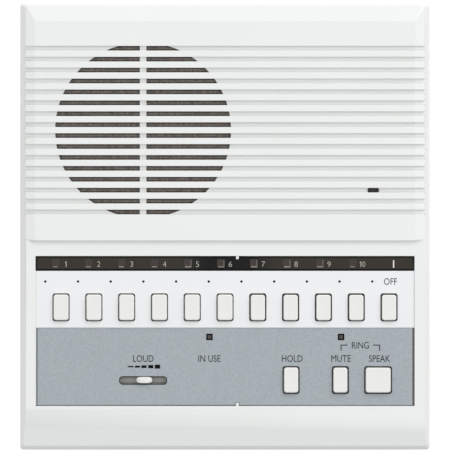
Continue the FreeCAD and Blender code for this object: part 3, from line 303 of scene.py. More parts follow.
louvred_abs = dusty_grooves(moulded_abs("moulded_abs_louvred", *COVER_ABS))
print("grooves between y", [round(GROOVES_MIDDLE + way * GROOVES_HALF, 2) for way in (-1, 1)])

# %% [markdown]
# ## Shutter of the volume slot
# Under the slot of the volume knob slides a shutter of grey acetal that keeps dust out. Its
# colour is pale along the middle and darker at both sides, which is painted shade of the slot's
# walls, so its colour depends on the distance from the slot's middle line. The shutter slides
# along that line, so the distance can be measured in its own coordinates.

# %% Acetal with painted shade
SLOT_Y = -73.1


def acetal_painted_shade():
    """Grey acetal with painted shade: pale within 0.6 mm of the slot's middle line, dark from 1.7
    mm outwards.
    """
    material, tree, shader = finish("worn_acetal_grey", {"Roughness": 0.36, "IOR": 1.48})
    place = add_node(tree, "TexCoord").outputs["Object"]
    along = add_node(tree, "SeparateXYZ", {"Vector": place}).outputs["Y"]
    offset = add_node(tree, "Math", {0: along, 1: -SLOT_Y * MM}, operation="ADD")
    offset = add_node(tree, "Math", {0: offset}, operation="ABSOLUTE")
    # painted shade: the shutter darkens towards the slot's long edges
    painted_shade = add_node(tree, "MapRange", {"Value": offset, "From Min": 0.6 * MM,
                                        "From Max": 1.7 * MM})
    tint = add_node(tree, "Mix", {"Factor": painted_shade, "A": srgb("#BAB9B2"), "B": srgb("#7C7B75")},
                    data_type="RGBA")
    smear = add_node(tree, "TexNoise", {"Vector": place, "Scale": repeats(0.8)})
    bump = add_node(tree, "Bump", {"Height": smear, "Strength": 0.3, "Distance": 0.01 * MM})
    fill(shader, {"Base Color": tint, "Normal": bump})
    return material


grey_acetal = acetal_painted_shade()
print("shutter", grey_acetal.name)

# %% [markdown]
# ## Selector plate
# Two thin plates lie in the recess of the panel. The one round the selector keys is white
# polycarbonate sheet. Its satin face is rolled into the sheet, so its gloss is even and only
# the relief varies.

# %% Satin polycarbonate
def sheet_plastic():
    """White sheet with a cloudy tint and a fine matt texture in relief."""
    material, tree, shader = finish("satin_polycarbonate", {"Roughness": 0.38, "IOR": 1.58})
    place = add_node(tree, "TexCoord").outputs["Object"]
    cloud = add_node(tree, "TexNoise", {"Vector": place, "Scale": repeats(30.0)})
    tint = add_node(tree, "Mix", {"Factor": cloud, "A": srgb("#EDEEF0"), "B": srgb("#EAEBEC")},
                    data_type="RGBA")
    grain = add_node(tree, "TexNoise", {"Vector": place, "Scale": repeats(0.3)})
    bump = add_node(tree, "Bump", {"Height": grain, "Strength": 0.4, "Distance": 0.006 * MM})
    fill(shader, {"Base Color": tint, "Normal": bump})
    return material


plate_white = sheet_plastic()
print("selector plate", plate_white.name)

# %% [markdown]
# ## Control plate
# The control plate is sprayed with a blue-grey paint that has fine metal flake in it, so its
# colour is speckled and it has a soft sheen. The flakes lie too deep in the paint to glitter
# as a metal shader would, so they are a speckle in its colour and relief.

# %% Flake paint
def flake_paint():
    """Sprayed paint: blue-grey with cooler and greener patches and a speckle of flakes."""
    material, tree, shader = finish("flake_paint_grey", {"Roughness": 0.4, "IOR": 1.5})
    place = add_node(tree, "TexCoord").outputs["Object"]
    patch = add_node(tree, "TexNoise", {"Vector": place, "Scale": repeats(4.5), "Detail": 3.0})
    speck = add_node(tree, "TexNoise", {"Vector": place, "Scale": repeats(0.8), "Detail": 2.0})
    base = add_node(tree, "Mix", {"Factor": patch, "A": srgb("#A1ACAE"), "B": srgb("#A3A8B1")},
                    data_type="RGBA")
    fleck = add_node(tree, "MapRange", {"Value": speck, "From Min": 0.35, "From Max": 0.65,
                                        "To Min": 0.93, "To Max": 1.07})
    mottled = add_node(tree, "VectorMath", {0: base, "Scale": fleck}, operation="SCALE")
    bump = add_node(tree, "Bump", {"Height": speck, "Strength": 0.4, "Distance": 0.008 * MM})
    fill(shader, {"Base Color": mottled, "Normal": bump})
    return material


plate_grey = flake_paint()
print("control plate", plate_grey.name)

# %% [markdown]
# ## Window over the station lamps
# The window is smoked acrylic, almost black, with a thin coat against reflections, so only a
# weak gleam lies on it. A painted reflection makes its colour paler towards both ends and black
# at its middle. It is thinner than a millimetre and a half and hardly lets light through, so it
# is drawn as a dark solid, and what shows behind it is drawn on its face. Wiping has left fine
# long marks in its gloss: a noise that is drawn out seventeen times along x.

# %% Smoked acrylic
WINDOW_MIDDLE = 1.5


def smoked_acrylic():
    """Non-reflecting acrylic; a painted reflection leaves it black at its middle and its clouded
    colour from 24 mm outwards.
    """
    material, tree, shader = finish("smoked_acrylic", {"IOR": 1.49, "Specular IOR Level": 0.25})
    place = add_node(tree, "TexCoord").outputs["Object"]
    cloud = add_node(tree, "TexNoise", {"Vector": place, "Scale": repeats(9.0)})
    tint = add_node(tree, "Mix", {"Factor": cloud, "A": srgb("#2D2A22"), "B": srgb("#312C25")},
                    data_type="RGBA")
    # painted reflection: the tint fades to black towards the window's middle
    across = add_node(tree, "SeparateXYZ", {"Vector": place}).outputs["X"]
    offset = add_node(tree, "Math", {0: across, 1: WINDOW_MIDDLE * MM}, operation="SUBTRACT")
    offset = add_node(tree, "Math", {0: offset}, operation="ABSOLUTE")
    thin = add_node(tree, "MapRange", {"Value": offset, "From Min": 9 * MM, "From Max": 24 * MM},
                    interpolation_type="SMOOTHSTEP")
    smoke_with_painted_reflection = add_node(tree, "VectorMath", {0: tint, "Scale": thin}, operation="SCALE")
    along = add_node(tree, "Mapping", {"Vector": place, "Scale": (0.06, 1.0, 1.0)})
    wiped = add_node(tree, "TexNoise", {"Vector": along, "Scale": repeats(0.6), "Detail": 3.0})
    gloss = add_node(tree, "MapRange", {"Value": wiped, "To Min": 0.1, "To Max": 0.2})
    fill(shader, {"Base Color": smoke_with_painted_reflection, "Roughness": gloss})
    return material


window_acrylic = smoked_acrylic()
print("window", window_acrylic.name)

# %% [markdown]
# ## Inks and lamps
# Words and marks are screen-printed: a dull film of ink about 0.04 mm thick, dark grey on the
# plates and pale grey on the window. It is full of matt powder, which takes away its gleam.
# The lamps behind the window and in the control plate are tinted epoxy, unlit, so they look
# like dull reddish grey squares. The painted shade at the plates' edges, the sealant and the
# lamps' lead frames are as dull as ink, and share its finish in their own colours.

# %% Ink and epoxy finishes
def printed_ink(name, colour):
    """Screen ink: one colour, whose dullness varies with a fine noise."""
    material, tree, shader = finish(name, {"Base Color": srgb(colour), "IOR": 1.5,
                                           "Specular IOR Level": 0.1})
    place = add_node(tree, "TexCoord").outputs["Object"]
    cover = add_node(tree, "TexNoise", {"Vector": place, "Scale": repeats(0.25)})
    dull = add_node(tree, "MapRange", {"Value": cover, "To Min": 0.5, "To Max": 0.75})
    fill(shader, {"Roughness": dull})
    return material


def tinted_epoxy(name, colour, deep):
    """Cast epoxy: soft clouds of two tones under a glossy face."""
    material, tree, shader = finish(name, {"Roughness": 0.22, "IOR": 1.55,
                                           "Specular IOR Level": 0.25})
    place = add_node(tree, "TexCoord").outputs["Object"]
    cast = add_node(tree, "TexNoise", {"Vector": place, "Scale": repeats(1.4)})
    tint = add_node(tree, "Mix", {"Factor": cast, "A": srgb(colour), "B": srgb(deep)},
                    data_type="RGBA")
    fill(shader, {"Base Color": tint})
    return material


dark_ink = printed_ink("screen_ink_dark", "#2A2D30")
black_ink = printed_ink("screen_ink_black", "#0A0A0A")
pale_ink = printed_ink("screen_ink_pale", "#B4B3AB")
end_ink = printed_ink("screen_ink_rose_white", "#E6DEDD")
lead_frame = printed_ink("lamp_lead_frame", "#8A837D")
# painted shade of the gap round the control plate, grey and a darker one
edge_shade = printed_ink("cut_edge_grey", "#7C8184")
shaded_edge = printed_ink("cut_edge_dark", "#625D5A")
sealant = printed_ink("white_sealant", "#EDEEEE")
lamp_epoxy = tinted_epoxy("lamp_epoxy_smoked", "#3D3833", "#39312D")
lens_epoxy = tinted_epoxy("lamp_epoxy_lens", "#4E4844", "#4A4340")
print("inks", [m.name for m in (dark_ink, black_ink, pale_ink, end_ink)],
      "lamps", [m.name for m in (lamp_epoxy, lens_epoxy)])

# %% [markdown]
# ## Finishes out of sight
# The works inside show only through vents and gaps, but each still has its own material:
# bright zinc plating on steel, brown paper laminate for the boards, sintered ferrite, pressed
# paper for the loudspeaker's cone, rubber, and a satin aluminium can. Two functions make them
# all, one for bright metals, which differ in gloss, and one for dull bodies, which differ in
# grain.

# %% Metal, board, ferrite, paper and rubber
def worked_metal(name, colour, roughness, grain):
    """Plated or drawn metal: gloss varies with a fine cloudy grain."""
    material, tree, shader = finish(name, {"Base Color": srgb(colour), "Metallic": 1.0})
    place = add_node(tree, "TexCoord").outputs["Object"]
    cloud = add_node(tree, "TexNoise", {"Vector": place, "Scale": repeats(grain), "Detail": 4.0})
    gloss = add_node(tree, "MapRange", {"Value": cloud, "To Min": roughness - 0.08,
                                        "To Max": roughness + 0.12})
    fill(shader, {"Roughness": gloss})
    return material


def rough_solid(name, colour, shade, roughness, grain, height, stretch=(1.0, 1.0, 1.0)):
    """A dull body with a two-tone grain that also stands in relief."""
    material, tree, shader = finish(name, {"Roughness": roughness, "IOR": 1.5})
    place = add_node(tree, "TexCoord").outputs["Object"]
    laid = add_node(tree, "Mapping", {"Vector": place, "Scale": stretch})
    speck = add_node(tree, "TexNoise", {"Vector": laid, "Scale": repeats(grain), "Detail": 4.0})
    tint = add_node(tree, "Mix", {"Factor": speck, "A": srgb(colour), "B": srgb(shade)},
                    data_type="RGBA")
    bump = add_node(tree, "Bump", {"Height": speck, "Strength": 0.6, "Distance": height * MM})
    fill(shader, {"Base Color": tint, "Normal": bump})
    return material


zinc_steel = worked_metal("zinc_plated_steel", "#C9CAC3", 0.34, 2.5)
can_aluminium = worked_metal("drawn_aluminium", "#D8D9DA", 0.3, 1.2)
board_laminate = rough_solid("paper_laminate", "#8C6234", "#7A5229", 0.45, 1.6, 0.01,
                             (1.0, 0.25, 1.0))
sintered_ferrite = rough_solid("sintered_ferrite", "#3B3C3E", "#2C2D2F", 0.7, 0.5, 0.03)
pressed_paper = rough_solid("pressed_paper_cone", "#2B2926", "#1F1D1B", 0.85, 0.9, 0.05)
moulded_rubber = rough_solid("moulded_rubber", "#1E1E1E", "#171717", 0.78, 0.6, 0.02)
print("inner finishes", [m.name for m in (zinc_steel, can_aluminium, board_laminate,
                                          sintered_ferrite, pressed_paper, moulded_rubber)])

# %% [markdown]
# ## Solids that stay as they are
# Most solids have the right shape. Each gets its material, and those given an edge width get
# three live modifiers that leave its mesh alone: Weld joins its loose triangles, Decimate makes
# flat faces whole again, and Bevel rounds the edges. No moulded or stamped edge is truly sharp,
# and it is this narrow round that catches a line of light along every groove.

# %% Dress the solids
def dress(material, edge, *names):
    """Give solids a material and, where edge isn't zero, round edges of that width."""
    for name in names:
        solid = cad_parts[name]
        for index in range(len(solid.material_slots)):
            solid.material_slots[index].link = "OBJECT"
            solid.material_slots[index].material = material
        if edge:
            weld = solid.modifiers.new("weld", "WELD")
            weld.merge_threshold = 0.002 * MM
            flat = solid.modifiers.new("flat_faces", "DECIMATE")
            flat.decimate_type = "DISSOLVE"
            flat.angle_limit = math.radians(0.6)
            bevel = solid.modifiers.new("soft_edges", "BEVEL")
            bevel.width = edge * MM
            bevel.segments = 2
            bevel.limit_method = "ANGLE"
            bevel.angle_limit = math.radians(30)
            bevel.use_clamp_overlap = False
            bevel.harden_normals = True


FUNCTION_KEYS = ("hold", "mute", "talk")
SELECTORS = [f"selector_{number}" for number in range(1, 11)] + ["off"]

dress(louvred_abs, 0.13, "front_cover")
dress(cover_abs, 0.4, "rear_case")
dress(plate_white, 0.12, "selector_plate")
dress(plate_grey, 0.12, "control_plate")
dress(window_acrylic, 0.12, "indicator_window")
dress(grey_acetal, 0.1, "volume_slider")
dress(zinc_steel, 0.1, "latch_bar", "speaker_frame", "speaker_clamps")
dress(zinc_steel, 0.0, "case_screws", "inner_screws", "terminal_screws")
dress(black_abs, 0.15, "switch_frame", "volume_pot", "terminal_block",
      *[f"{name}_switch" for name in FUNCTION_KEYS])
dress(black_abs, 0.1, *[f"{name}_plunger" for name in (*SELECTORS, *FUNCTION_KEYS)])
dress(board_laminate, 0.0, "main_board", "lamp_board")
dress(can_aluminium, 0.2, "filter_capacitors", "mic_capsule")
dress(lamp_epoxy, 0.1, "station_lamps", "busy_lamp", "call_lamp")
dress(moulded_rubber, 0.0, "mic_boot", "speaker_surround")
dress(sintered_ferrite, 0.3, "speaker_magnet")
dress(pressed_paper, 0.0, "speaker_cone")
print("dressed", sum(len(o.modifiers) > 0 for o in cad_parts.values()), "with soft edges")

# %% [markdown]
# ## Surfaces from rings
# A key cap, a thumb knob, a rubber foot and a lamp lens have one thing in common: every level
# slice through them is one closed loop. A cube with modifiers would hide its sizes in them, so
# each piece is an array of rings, and one function joins them into a closed skin. Rings run
# anticlockwise seen from above and go from the bottom to the top, which makes every face point
# outwards.

# %% Ring helpers
def loop_of_corners(half_width, half_length, corner, steps=7):
    """Rounded rectangle: each corner's centre plus corner * (cos, sin) over its quarter turn."""
    turn = np.linspace(0.0, math.pi / 2, steps)[None, :] + np.arange(4)[:, None] * math.pi / 2
    centre = np.array([[1, 1], [-1, 1], [-1, -1], [1, -1]])[:, None, :]
    reach = centre * np.array([half_width - corner, half_length - corner])
    return (reach + corner * np.stack([np.cos(turn), np.sin(turn)], axis=-1)).reshape(-1, 2)


def at_level(loop, level):
    """A flat loop's points with the same z."""
    return np.column_stack([loop, np.full(len(loop), level)])


def ring_grid(x, y, level):
    """Rings from x and y over (ring, point) and from one level a ring."""
    return np.stack([x, y, np.broadcast_to(level[:, None], x.shape)], axis=-1)


def ring_quads(levels, around, bands):
    """Quads of the first bands between rings; after the last ring comes the first again."""
    here = np.arange(around)
    ahead = (here + 1) % around
    base = (np.arange(bands) * around)[:, None]
    above = (base + around) % (levels * around)
    quads = np.stack([base + here, base + ahead, above + ahead, above + here], -1)
    return quads.reshape(-1, 4).tolist()


def closed_band(rings):
    """Vertices and faces of a skin whose last ring joins the first, like a picture frame's."""
    levels, around, _three = rings.shape
    return rings.reshape(-1, 3), ring_quads(levels, around, levels)


def joined_rings(rings):
    """Vertices and faces of a closed skin: quads between rings, and a fan at each end."""
    levels, around, _three = rings.shape
    middles = [rings[0].mean(axis=0), rings[-1].mean(axis=0)]
    here = np.arange(around)
    ahead = (here + 1) % around
    bottom = np.stack([ahead, here, np.full(around, levels * around)], -1)
    last = (levels - 1) * around
    top = np.stack([last + here, last + ahead, np.full(around, levels * around + 1)], -1)
    faces = [*ring_quads(levels, around, levels - 1), *bottom.tolist(), *top.tolist()]
    return np.concatenate([rings.reshape(-1, 3), middles]), faces


print("a ring has", len(loop_of_corners(3.5, 6.0, 1.2)), "points")

# %% [markdown]
# ## From points to a piece
# Each surface comes as points and faces, and several can make one object, such as the feet. The
# object sits at the origin, as the solids do, and is placed by its points alone. Then it is told
# which body it rides on, so that it moves with the joints, which finish it takes and which
# solid it stands for.

# %% Piece helpers
def new_piece(name, parts, material, body, nodes=()):
    """One object from (vertices, faces) parts in millimetres, riding on its body."""
    start = np.cumsum([0] + [len(points) for points, _faces in parts])
    mesh = bpy.data.meshes.new(name)
    points = np.concatenate([points for points, _faces in parts]) * MM
    faces = [[index + shift for index in face]
             for (_points, part), shift in zip(parts, start) for face in part]
    mesh.from_pydata(points.tolist(), [], faces)
    mesh.materials.append(material)
    mesh.shade_smooth()
    piece = bpy.data.objects.new(name, mesh)
    bpy.context.scene.collection.objects.link(piece)
    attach(piece, body)
    if nodes:
        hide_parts(*nodes)
    return piece


def flat_piece(name, parts, material):
    """A flat-shaded piece that rides on the case."""
    new_piece(name, parts, material, "case").data.shade_flat()


def plan(low, high):
    """A box's lowest x and y and highest x and y in millimetres."""
    return [v / MM for v in (*low[:2], *high[:2])]


# %% [markdown]
# ## Key caps
# A key cap is a hollow box of white ABS. Below the panel it has a flange that stops it from
# coming out, above it are straight sides, and its top edge is rounded by half a millimetre.
# The top isn't quite flat: it is dished by a tenth of a millimetre to hold a fingertip. The
# rings follow the flange, the side and the quarter circle of the edge, and then shrink towards
# the middle of the dish. The last five selector keys are from a slightly smaller mould.

# %% Build the key caps
KEY_TOP = 54.1
KEY_EDGE = 0.5
KEY_CORNER = 1.2
KEY_DISH = 0.1
KEY_PITCH = 15.6
FLANGE_LOW, FLANGE_HIGH, FLANGE_LIP = 48.0, 49.0, 1.25
FIRST_KEYS = (-38.5, 7.08, 12.16)
LAST_KEYS = (-38.6, 6.78, 12.1)


def key_cap(x, y, width, length):
    """Rings of half sizes (w - inset, l - inset) at their levels, then the dish.

    A ring of the dish is the last one times s, lower by KEY_DISH * (1 - s ** 2) ** 2.
    """
    turn = np.linspace(0.0, math.pi / 2, 7)
    inset = np.concatenate([[-FLANGE_LIP, -FLANGE_LIP, -FLANGE_LIP + 0.1, 0.0, 0.0],
                            KEY_EDGE * (1 - np.cos(turn))])
    level = np.concatenate([[FLANGE_LOW, FLANGE_HIGH - 0.1, FLANGE_HIGH, FLANGE_HIGH,
                             FLANGE_HIGH + 0.3], KEY_TOP - KEY_EDGE + KEY_EDGE * np.sin(turn)])
    corner = np.maximum(KEY_CORNER - np.maximum(inset, 0.0), 0.3)
    rings = [at_level(loop_of_corners(width / 2 - i, length / 2 - i, c), z)
             for i, z, c in zip(inset, level, corner)]
    edge = rings[-1]
    for share in np.linspace(0.93, 0.08, 9):
        rings.append(at_level(edge[:, :2] * share, KEY_TOP - KEY_DISH * (1 - share ** 2) ** 2))
    return joined_rings(np.array(rings) + np.array([x, y, 0.0]))


key_places = {name: ((index - 5) * KEY_PITCH + 0.05, *(LAST_KEYS if index > 5 else FIRST_KEYS))
              for index, name in enumerate(SELECTORS)}
key_places["hold"] = (31.47, -73.05, 6.75, 11.95)
key_places["mute"] = (54.87, -73.08, 6.65, 11.85)
key_places["talk"] = (72.87, -73.08, 11.85, 11.85)
for name, place in key_places.items():
    new_piece(f"{name}_cap", [key_cap(*place)], key_abs, f"{name}_key",
              [f"{name}_key"])

# %% [markdown]
# ## Thumb knob
# The slider's knob is a small white barrel that fills the slot. Its top is level in the middle
# and falls away in a wide round to both ends, so that a finger can push it either way, while
# its long edges are only just broken. Its rings are superellipses, which are fuller than an
# ellipse: |x / a| ** 3.4 + |y / b| ** 3.4 = 1. From the shoulder up, a shrinks by the round of
# the ends and b only by the broken edge, both along a quarter circle.

# %% Build the thumb knob
FULLNESS = 3.4
END_ROUND = 2.8
BROKEN_EDGE = 0.25


def barrel_knob(x, y, half_length, half_width, low, shoulder, crest):
    """Half sizes a - END_ROUND * (1 - cos t), b - BROKEN_EDGE * (1 - cos t); z rises by sin t."""
    turn = np.linspace(0.0, 2 * math.pi, 48, endpoint=False)
    oval_x = np.sign(np.cos(turn)) * np.abs(np.cos(turn)) ** (2 / FULLNESS)
    oval_y = np.sign(np.sin(turn)) * np.abs(np.sin(turn)) ** (2 / FULLNESS)
    rise = np.linspace(0.0, math.pi / 2, 12)
    drawn_in = np.concatenate([[0.0, 0.0], 1 - np.cos(rise)])[:, None]
    level = np.concatenate([[low, shoulder - 0.4], shoulder + (crest - shoulder) * np.sin(rise)])
    return joined_rings(ring_grid(x + oval_x * (half_length - END_ROUND * drawn_in),
                                  y + oval_y * (half_width - BROKEN_EDGE * drawn_in), level))


new_piece("thumb_knob", [barrel_knob(-38.4, SLOT_Y, 3.8, 1.55, 49.0, 51.9, 53.9)], key_abs,
          "volume_knob", ["volume_knob"])

# %% [markdown]
# ## Painted shade in the openings
# The volume slot and the openings of the three function keys and of the last five selector
# keys are edged by thin black frames: dark solids put where these openings lie in shade. A
# frame is a closed band of four loops, two round its outer wall and two round its inner wall.

# %% Build the shade frames
SHADE_LOW, SHADE_HIGH = 51.7, 52.26
SHADE_CORNER = 1.18
OPENING = (4.05, 6.65)


def opening_shade(x, y, outer, inner, corner=SHADE_CORNER):
    """A frame between two rounded rectangles: outer wall, top, inner wall and bottom."""
    outside = loop_of_corners(*outer, corner)
    inside = loop_of_corners(*inner, corner - (outer[1] - inner[1]))
    rings = [at_level(outside, SHADE_LOW), at_level(outside, SHADE_HIGH),
             at_level(inside, SHADE_HIGH), at_level(inside, SHADE_LOW)]
    return closed_band(np.array(rings) + np.array([x, y, 0.0]))


# painted shade: black frames where the openings' walls lie in shade
opening_shades = [opening_shade(-38.95, -73.3, (11.38, 2.03), (11.0, 1.78), corner=1.62),
          opening_shade(31.4, -73.1, OPENING, (3.9, 6.5)),
          opening_shade(54.85, -73.1, OPENING, (3.82, 6.42)),
          opening_shade(72.8, -73.1, (6.6, 6.6), (6.4, 6.4))]
opening_shades += [opening_shade(index * KEY_PITCH, -38.5, OPENING, (3.7, 6.3)) for index in range(1, 6)]
flat_piece("slot_liners", opening_shades, black_abs)
print("opening_shades", len(opening_shades))

# %% [markdown]
# ## Rubber feet
# Four turned feet are pressed into round seats in the rear case. Each is a profile of radius
# against height carried round its axis: a shallow ring in the sole, a rounded rim and a slightly
# wider top.

# %% Build the feet
FOOT_X, FOOT_Y = 78.0, 84.0
FOOT = [(3.2, 0.5), (3.9, 0.45), (4.5, 0.06), (4.9, 0.0), (5.8, 0.0), (6.25, 0.12), (6.5, 0.45),
        (6.75, 1.2), (7.0, 2.5), (7.0, 3.5)]


def turned(x, y, profile, around=40):
    """A profile of (radius, level) pairs carried round the upright axis through (x, y)."""
    turn = np.linspace(0.0, 2 * math.pi, around, endpoint=False)
    radius, level = np.array(profile).T
    return joined_rings(ring_grid(x + radius[:, None] * np.cos(turn),
                                  y + radius[:, None] * np.sin(turn), level))


feet = [turned(side * FOOT_X, end * FOOT_Y, FOOT) for side in (-1, 1) for end in (-1, 1)]
new_piece("turned_feet", feet, moulded_rubber, "case", ["rubber_feet"])
print("feet", len(feet))

# %% [markdown]
# ## Grille cloth
# Behind the louvres a disc of open-weave acoustic cloth is stretched over the loudspeaker's
# ring. It is one thin sheet, stretched flat, so nothing in it has to be simulated: the surface
# is a disc of rings with a hair's thickness. The threads are in its material: two crossed sets
# of waves, in colour and in relief, under a speckle of thicker places in the yarn. Real threads
# stand 0.4 mm apart, and are drawn at 0.55 mm so that they show. A slower set of waves with the
# pitch of the louvres paints light and shade: the cloth is paler along the middle of each slot
# and darker at the louvres' edges, where they shade it.

# %% Weave the cloth
THREAD = 0.55


def woven_cloth():
    """Two crossed wave sets; the higher thread wins, and the gaps between them are dark."""
    material, tree, shader = finish("woven_acoustic_cloth", {"Roughness": 0.9,
                                                             "Sheen Weight": 0.15,
                                                             "Specular IOR Level": 0.2})
    place = add_node(tree, "TexCoord").outputs["Object"]
    warp, weft = (add_node(tree, "TexWave", {"Vector": place, "Scale": waves(THREAD),
                                             "Distortion": 0.8}, bands_direction=way)
                  for way in ("X", "Y"))
    thread = add_node(tree, "Math", {0: warp.outputs["Fac"], 1: weft.outputs["Fac"]},
                      operation="MAXIMUM")
    slub = add_node(tree, "TexNoise", {"Vector": place, "Scale": repeats(1.3), "Detail": 2.0})
    lit = add_node(tree, "Math", {0: thread, 1: slub}, operation="MULTIPLY")
    tint = add_node(tree, "Mix", {"Factor": lit, "A": srgb("#3A3532"), "B": srgb("#B2A8A0")},
                    data_type="RGBA")
    # painted light and shade: paler along each slot's middle, darker at the louvres' edges
    row = add_node(tree, "TexWave", {"Vector": place, "Scale": waves(LOUVRE_PITCH),
                                     "Phase Offset": crest_at(LOUVRE_Y, LOUVRE_PITCH)},
                   bands_direction="Y")
    slot_light_and_shade = add_node(tree, "MapRange", {"Value": row.outputs["Fac"], "From Min": 0.84,
                                       "From Max": 0.98, "To Min": 0.42, "To Max": 1.2})
    lit_and_shaded_cloth = add_node(tree, "VectorMath", {0: tint, "Scale": slot_light_and_shade}, operation="SCALE")
    bump = add_node(tree, "Bump", {"Height": thread, "Strength": 0.4, "Distance": 0.06 * MM})
    fill(shader, {"Base Color": lit_and_shaded_cloth, "Normal": bump})
    return material


acoustic_cloth = woven_cloth()
print("cloth finish", acoustic_cloth.name)

# %% Stretch the cloth
GRILLE_X, GRILLE_Y = -38.95, 45.7
CLOTH_RADIUS = 42.8
CLOTH_LOW, CLOTH_HIGH = 51.02, 51.58

shares = np.linspace(0, 1, 12)
reach = CLOTH_RADIUS - 1.0
disc = [(1.0 + reach * share, CLOTH_LOW) for share in shares]
disc += [(CLOTH_RADIUS - reach * share, CLOTH_HIGH) for share in shares]
cloth = new_piece("stretched_cloth", [turned(GRILLE_X, GRILLE_Y, disc, 72)], acoustic_cloth,
                  "case", ["grille_cloth"])
print("cloth", len(cloth.data.polygons), "faces")

# %% [markdown]
# ## Felt over the microphone
# The microphone's sound hole is covered by a small disc of black felt, which keeps dust and
# breath out of it. It is a turned disc like the feet, with a soft edge, and its fibres are a
# fine noise in relief. Felt scatters light between its fibres, so it has hardly any gleam, and
# the dust in it has turned it grey.

# %% Felt disc
FELT_X, FELT_Y = 70.5, 17.22
FELT = [(1.0, 50.12), (2.5, 50.12), (2.6, 50.2), (2.5, 50.34), (1.0, 50.36)]

black_felt = rough_solid("pressed_felt_black", "#686663", "#585653", 0.95, 0.3, 0.04)
felt = new_piece("microphone_felt", [turned(FELT_X, FELT_Y, FELT)], black_felt, "case")
print("felt", len(felt.data.polygons), "faces")

# %% [markdown]
# ## Printed marks
# All marks on the plates are thin slabs of ink: an outline in the plane, with a bottom, a top
# and a wall round it. They could be painted by the plate's material, but a slab keeps a crisp
# edge at any distance. Bars, brackets and the border of the window are rectangles, and the
# small dots that mark the keys are many-sided discs. The window's black border is painted
# shade of the gap round the window, widest at its front.

# %% Dots and the window's border
PLATE_TOP = 52.3
INK = 0.04
SELECTOR_WORDS_Y = -26.2
BORDER_SIDE, BORDER_REAR, BORDER_FRONT = 0.5, 0.6, 0.85


def ink_slab(outline, low=PLATE_TOP, thickness=INK):
    """A closed prism over an anticlockwise outline: bottom face, top face and wall quads."""
    count = len(outline)
    points = np.concatenate([at_level(outline, low), at_level(outline, low + thickness)])
    here = np.arange(count)
    ahead = (here + 1) % count
    walls = np.stack([here, ahead, ahead + count, here + count], -1).tolist()
    return points, [*walls, here[::-1].tolist(), (here + count).tolist()]


def bar(x0, y0, x1, y1, **options):
    """A slab over the rectangle from (x0, y0) to (x1, y1)."""
    return ink_slab([(x0, y0), (x1, y0), (x1, y1), (x0, y1)], **options)


def dot(x, y, radius):
    """A slab over twenty points at (x, y) + radius * (cos t, sin t)."""
    turn = np.linspace(0.0, 2 * math.pi, 20, endpoint=False)
    return ink_slab(np.stack([x + radius * np.cos(turn), y + radius * np.sin(turn)], -1))


dots = [dot(-85.45 + index * 15.55, SELECTOR_WORDS_Y, 0.58) for index in range(11)]
flat_piece("key_dots", dots, black_ink)

x0, y0, x1, y1 = plan(*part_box("indicator_window"))
# painted shade: black bars where the gap round the window lies in shade
low_y, high_y = y0 + BORDER_FRONT, y1 - BORDER_REAR
gap_shade = [bar(x0, y0, x1, low_y), bar(x0, high_y, x1, y1),
          bar(x0, low_y, x0 + BORDER_SIDE, high_y), bar(x1 - BORDER_SIDE, low_y, x1, high_y)]
flat_piece("window_border", gap_shade, black_ink)
print("dots", len(dots), "gap_shade", [round(v, 2) for v in (x0, y0, x1, y1)])

# %% [markdown]
# ## Painted shade at the edges of the plates
# Thin grey lines at the left and the front of the control plate, and a darker line at the right,
# are painted shade in the gap round the plate. A thread of white sealant closes the gap at the
# left of both plates and at the right of the selector plate. The front line leaves out the
# cover's tab.

# %% Painted edge shade and sealant
EDGE = 0.02
SIDE_LINE = 0.8
FRONT_LINE = 0.2
TAB_LEFT, TAB_RIGHT = 4.5, 7.3

x0, y0, x1, y1 = plan(*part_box("control_plate"))
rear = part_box("selector_plate")[1][1] / MM
right_line = x1 - 0.72
front = y0 + EDGE
# painted shade: lines where the gap at the plate's left, front and right lies in shade
flat_piece("plate_gap_shade_left", [bar(x0 + EDGE, front, x0 + SIDE_LINE, y1 - EDGE),
                               bar(x0 + SIDE_LINE, front, TAB_LEFT, y0 + FRONT_LINE),
                               bar(TAB_RIGHT, front, right_line, y0 + FRONT_LINE)],
           edge_shade)
flat_piece("plate_gap_shade_right", [bar(right_line, front, x1 + 0.08, y1 - EDGE)], shaded_edge)
bead = [bar(x0 - 0.28, y0, x0 - 0.01, rear, low=52.0, thickness=0.3),
        bar(x1 + 0.01, y1 + 0.3, x1 + 0.28, rear, low=51.8, thickness=0.3)]
flat_piece("sealant_thread", bead, sealant)
print("edges of", [round(v, 2) for v in (x0, y0, x1, y1)])

# %% [markdown]
# ## Volume ramp and call brackets
# Over the volume slot stand five bars, each higher than the one before, which say which way is
# louder. A bracket on each side of the word over two of the function keys says that they belong
# together. Both are plain bars. The ramp's are unevenly spaced, so their places are listed.

# %% Ramp and brackets
RAMP_Y = -66.7
RAMP = ((-46.2, -43.55, 0.62), (-42.85, -40.45, 0.9), (-39.75, -37.3, 1.25),
        (-36.5, -34.1, 1.55), (-33.4, -30.85, 1.88))
STROKE = 0.22
BRACKET_Y, BRACKET_LOW = -56.45, -59.15

ramp = [bar(left, RAMP_Y - height / 2, right, RAMP_Y + height / 2)
        for left, right, height in RAMP]
flat_piece("volume_ramp", ramp, black_ink)

brackets = []
for post, end in ((55.2, 58.1), (73.6, 70.7)):
    left, right = min(post, end) - STROKE, max(post, end) + STROKE
    brackets.append(bar(left, BRACKET_Y - STROKE, right, BRACKET_Y + STROKE))
    brackets.append(bar(post - STROKE, BRACKET_LOW, post + STROKE, BRACKET_Y - STROKE))
flat_piece("call_brackets", brackets, dark_ink)
print("ramp bars", len(ramp), "bracket bars", len(brackets))

# %% [markdown]
# ## Printed numbers and words
# The station numbers and the plain words over the controls are set in a thin sans-serif.
# Blender's text object gives the outlines. Each is made a mesh first, and then its points are
# scaled from their own extent to a box on the plate, so a word keeps its place and height
# whatever the font's own metrics are. Words are condensed to a fixed share of their own width,
# and a number is given its width. The figure 1 is drawn as an outline with a flag, because the
# font's own is a plain stroke.

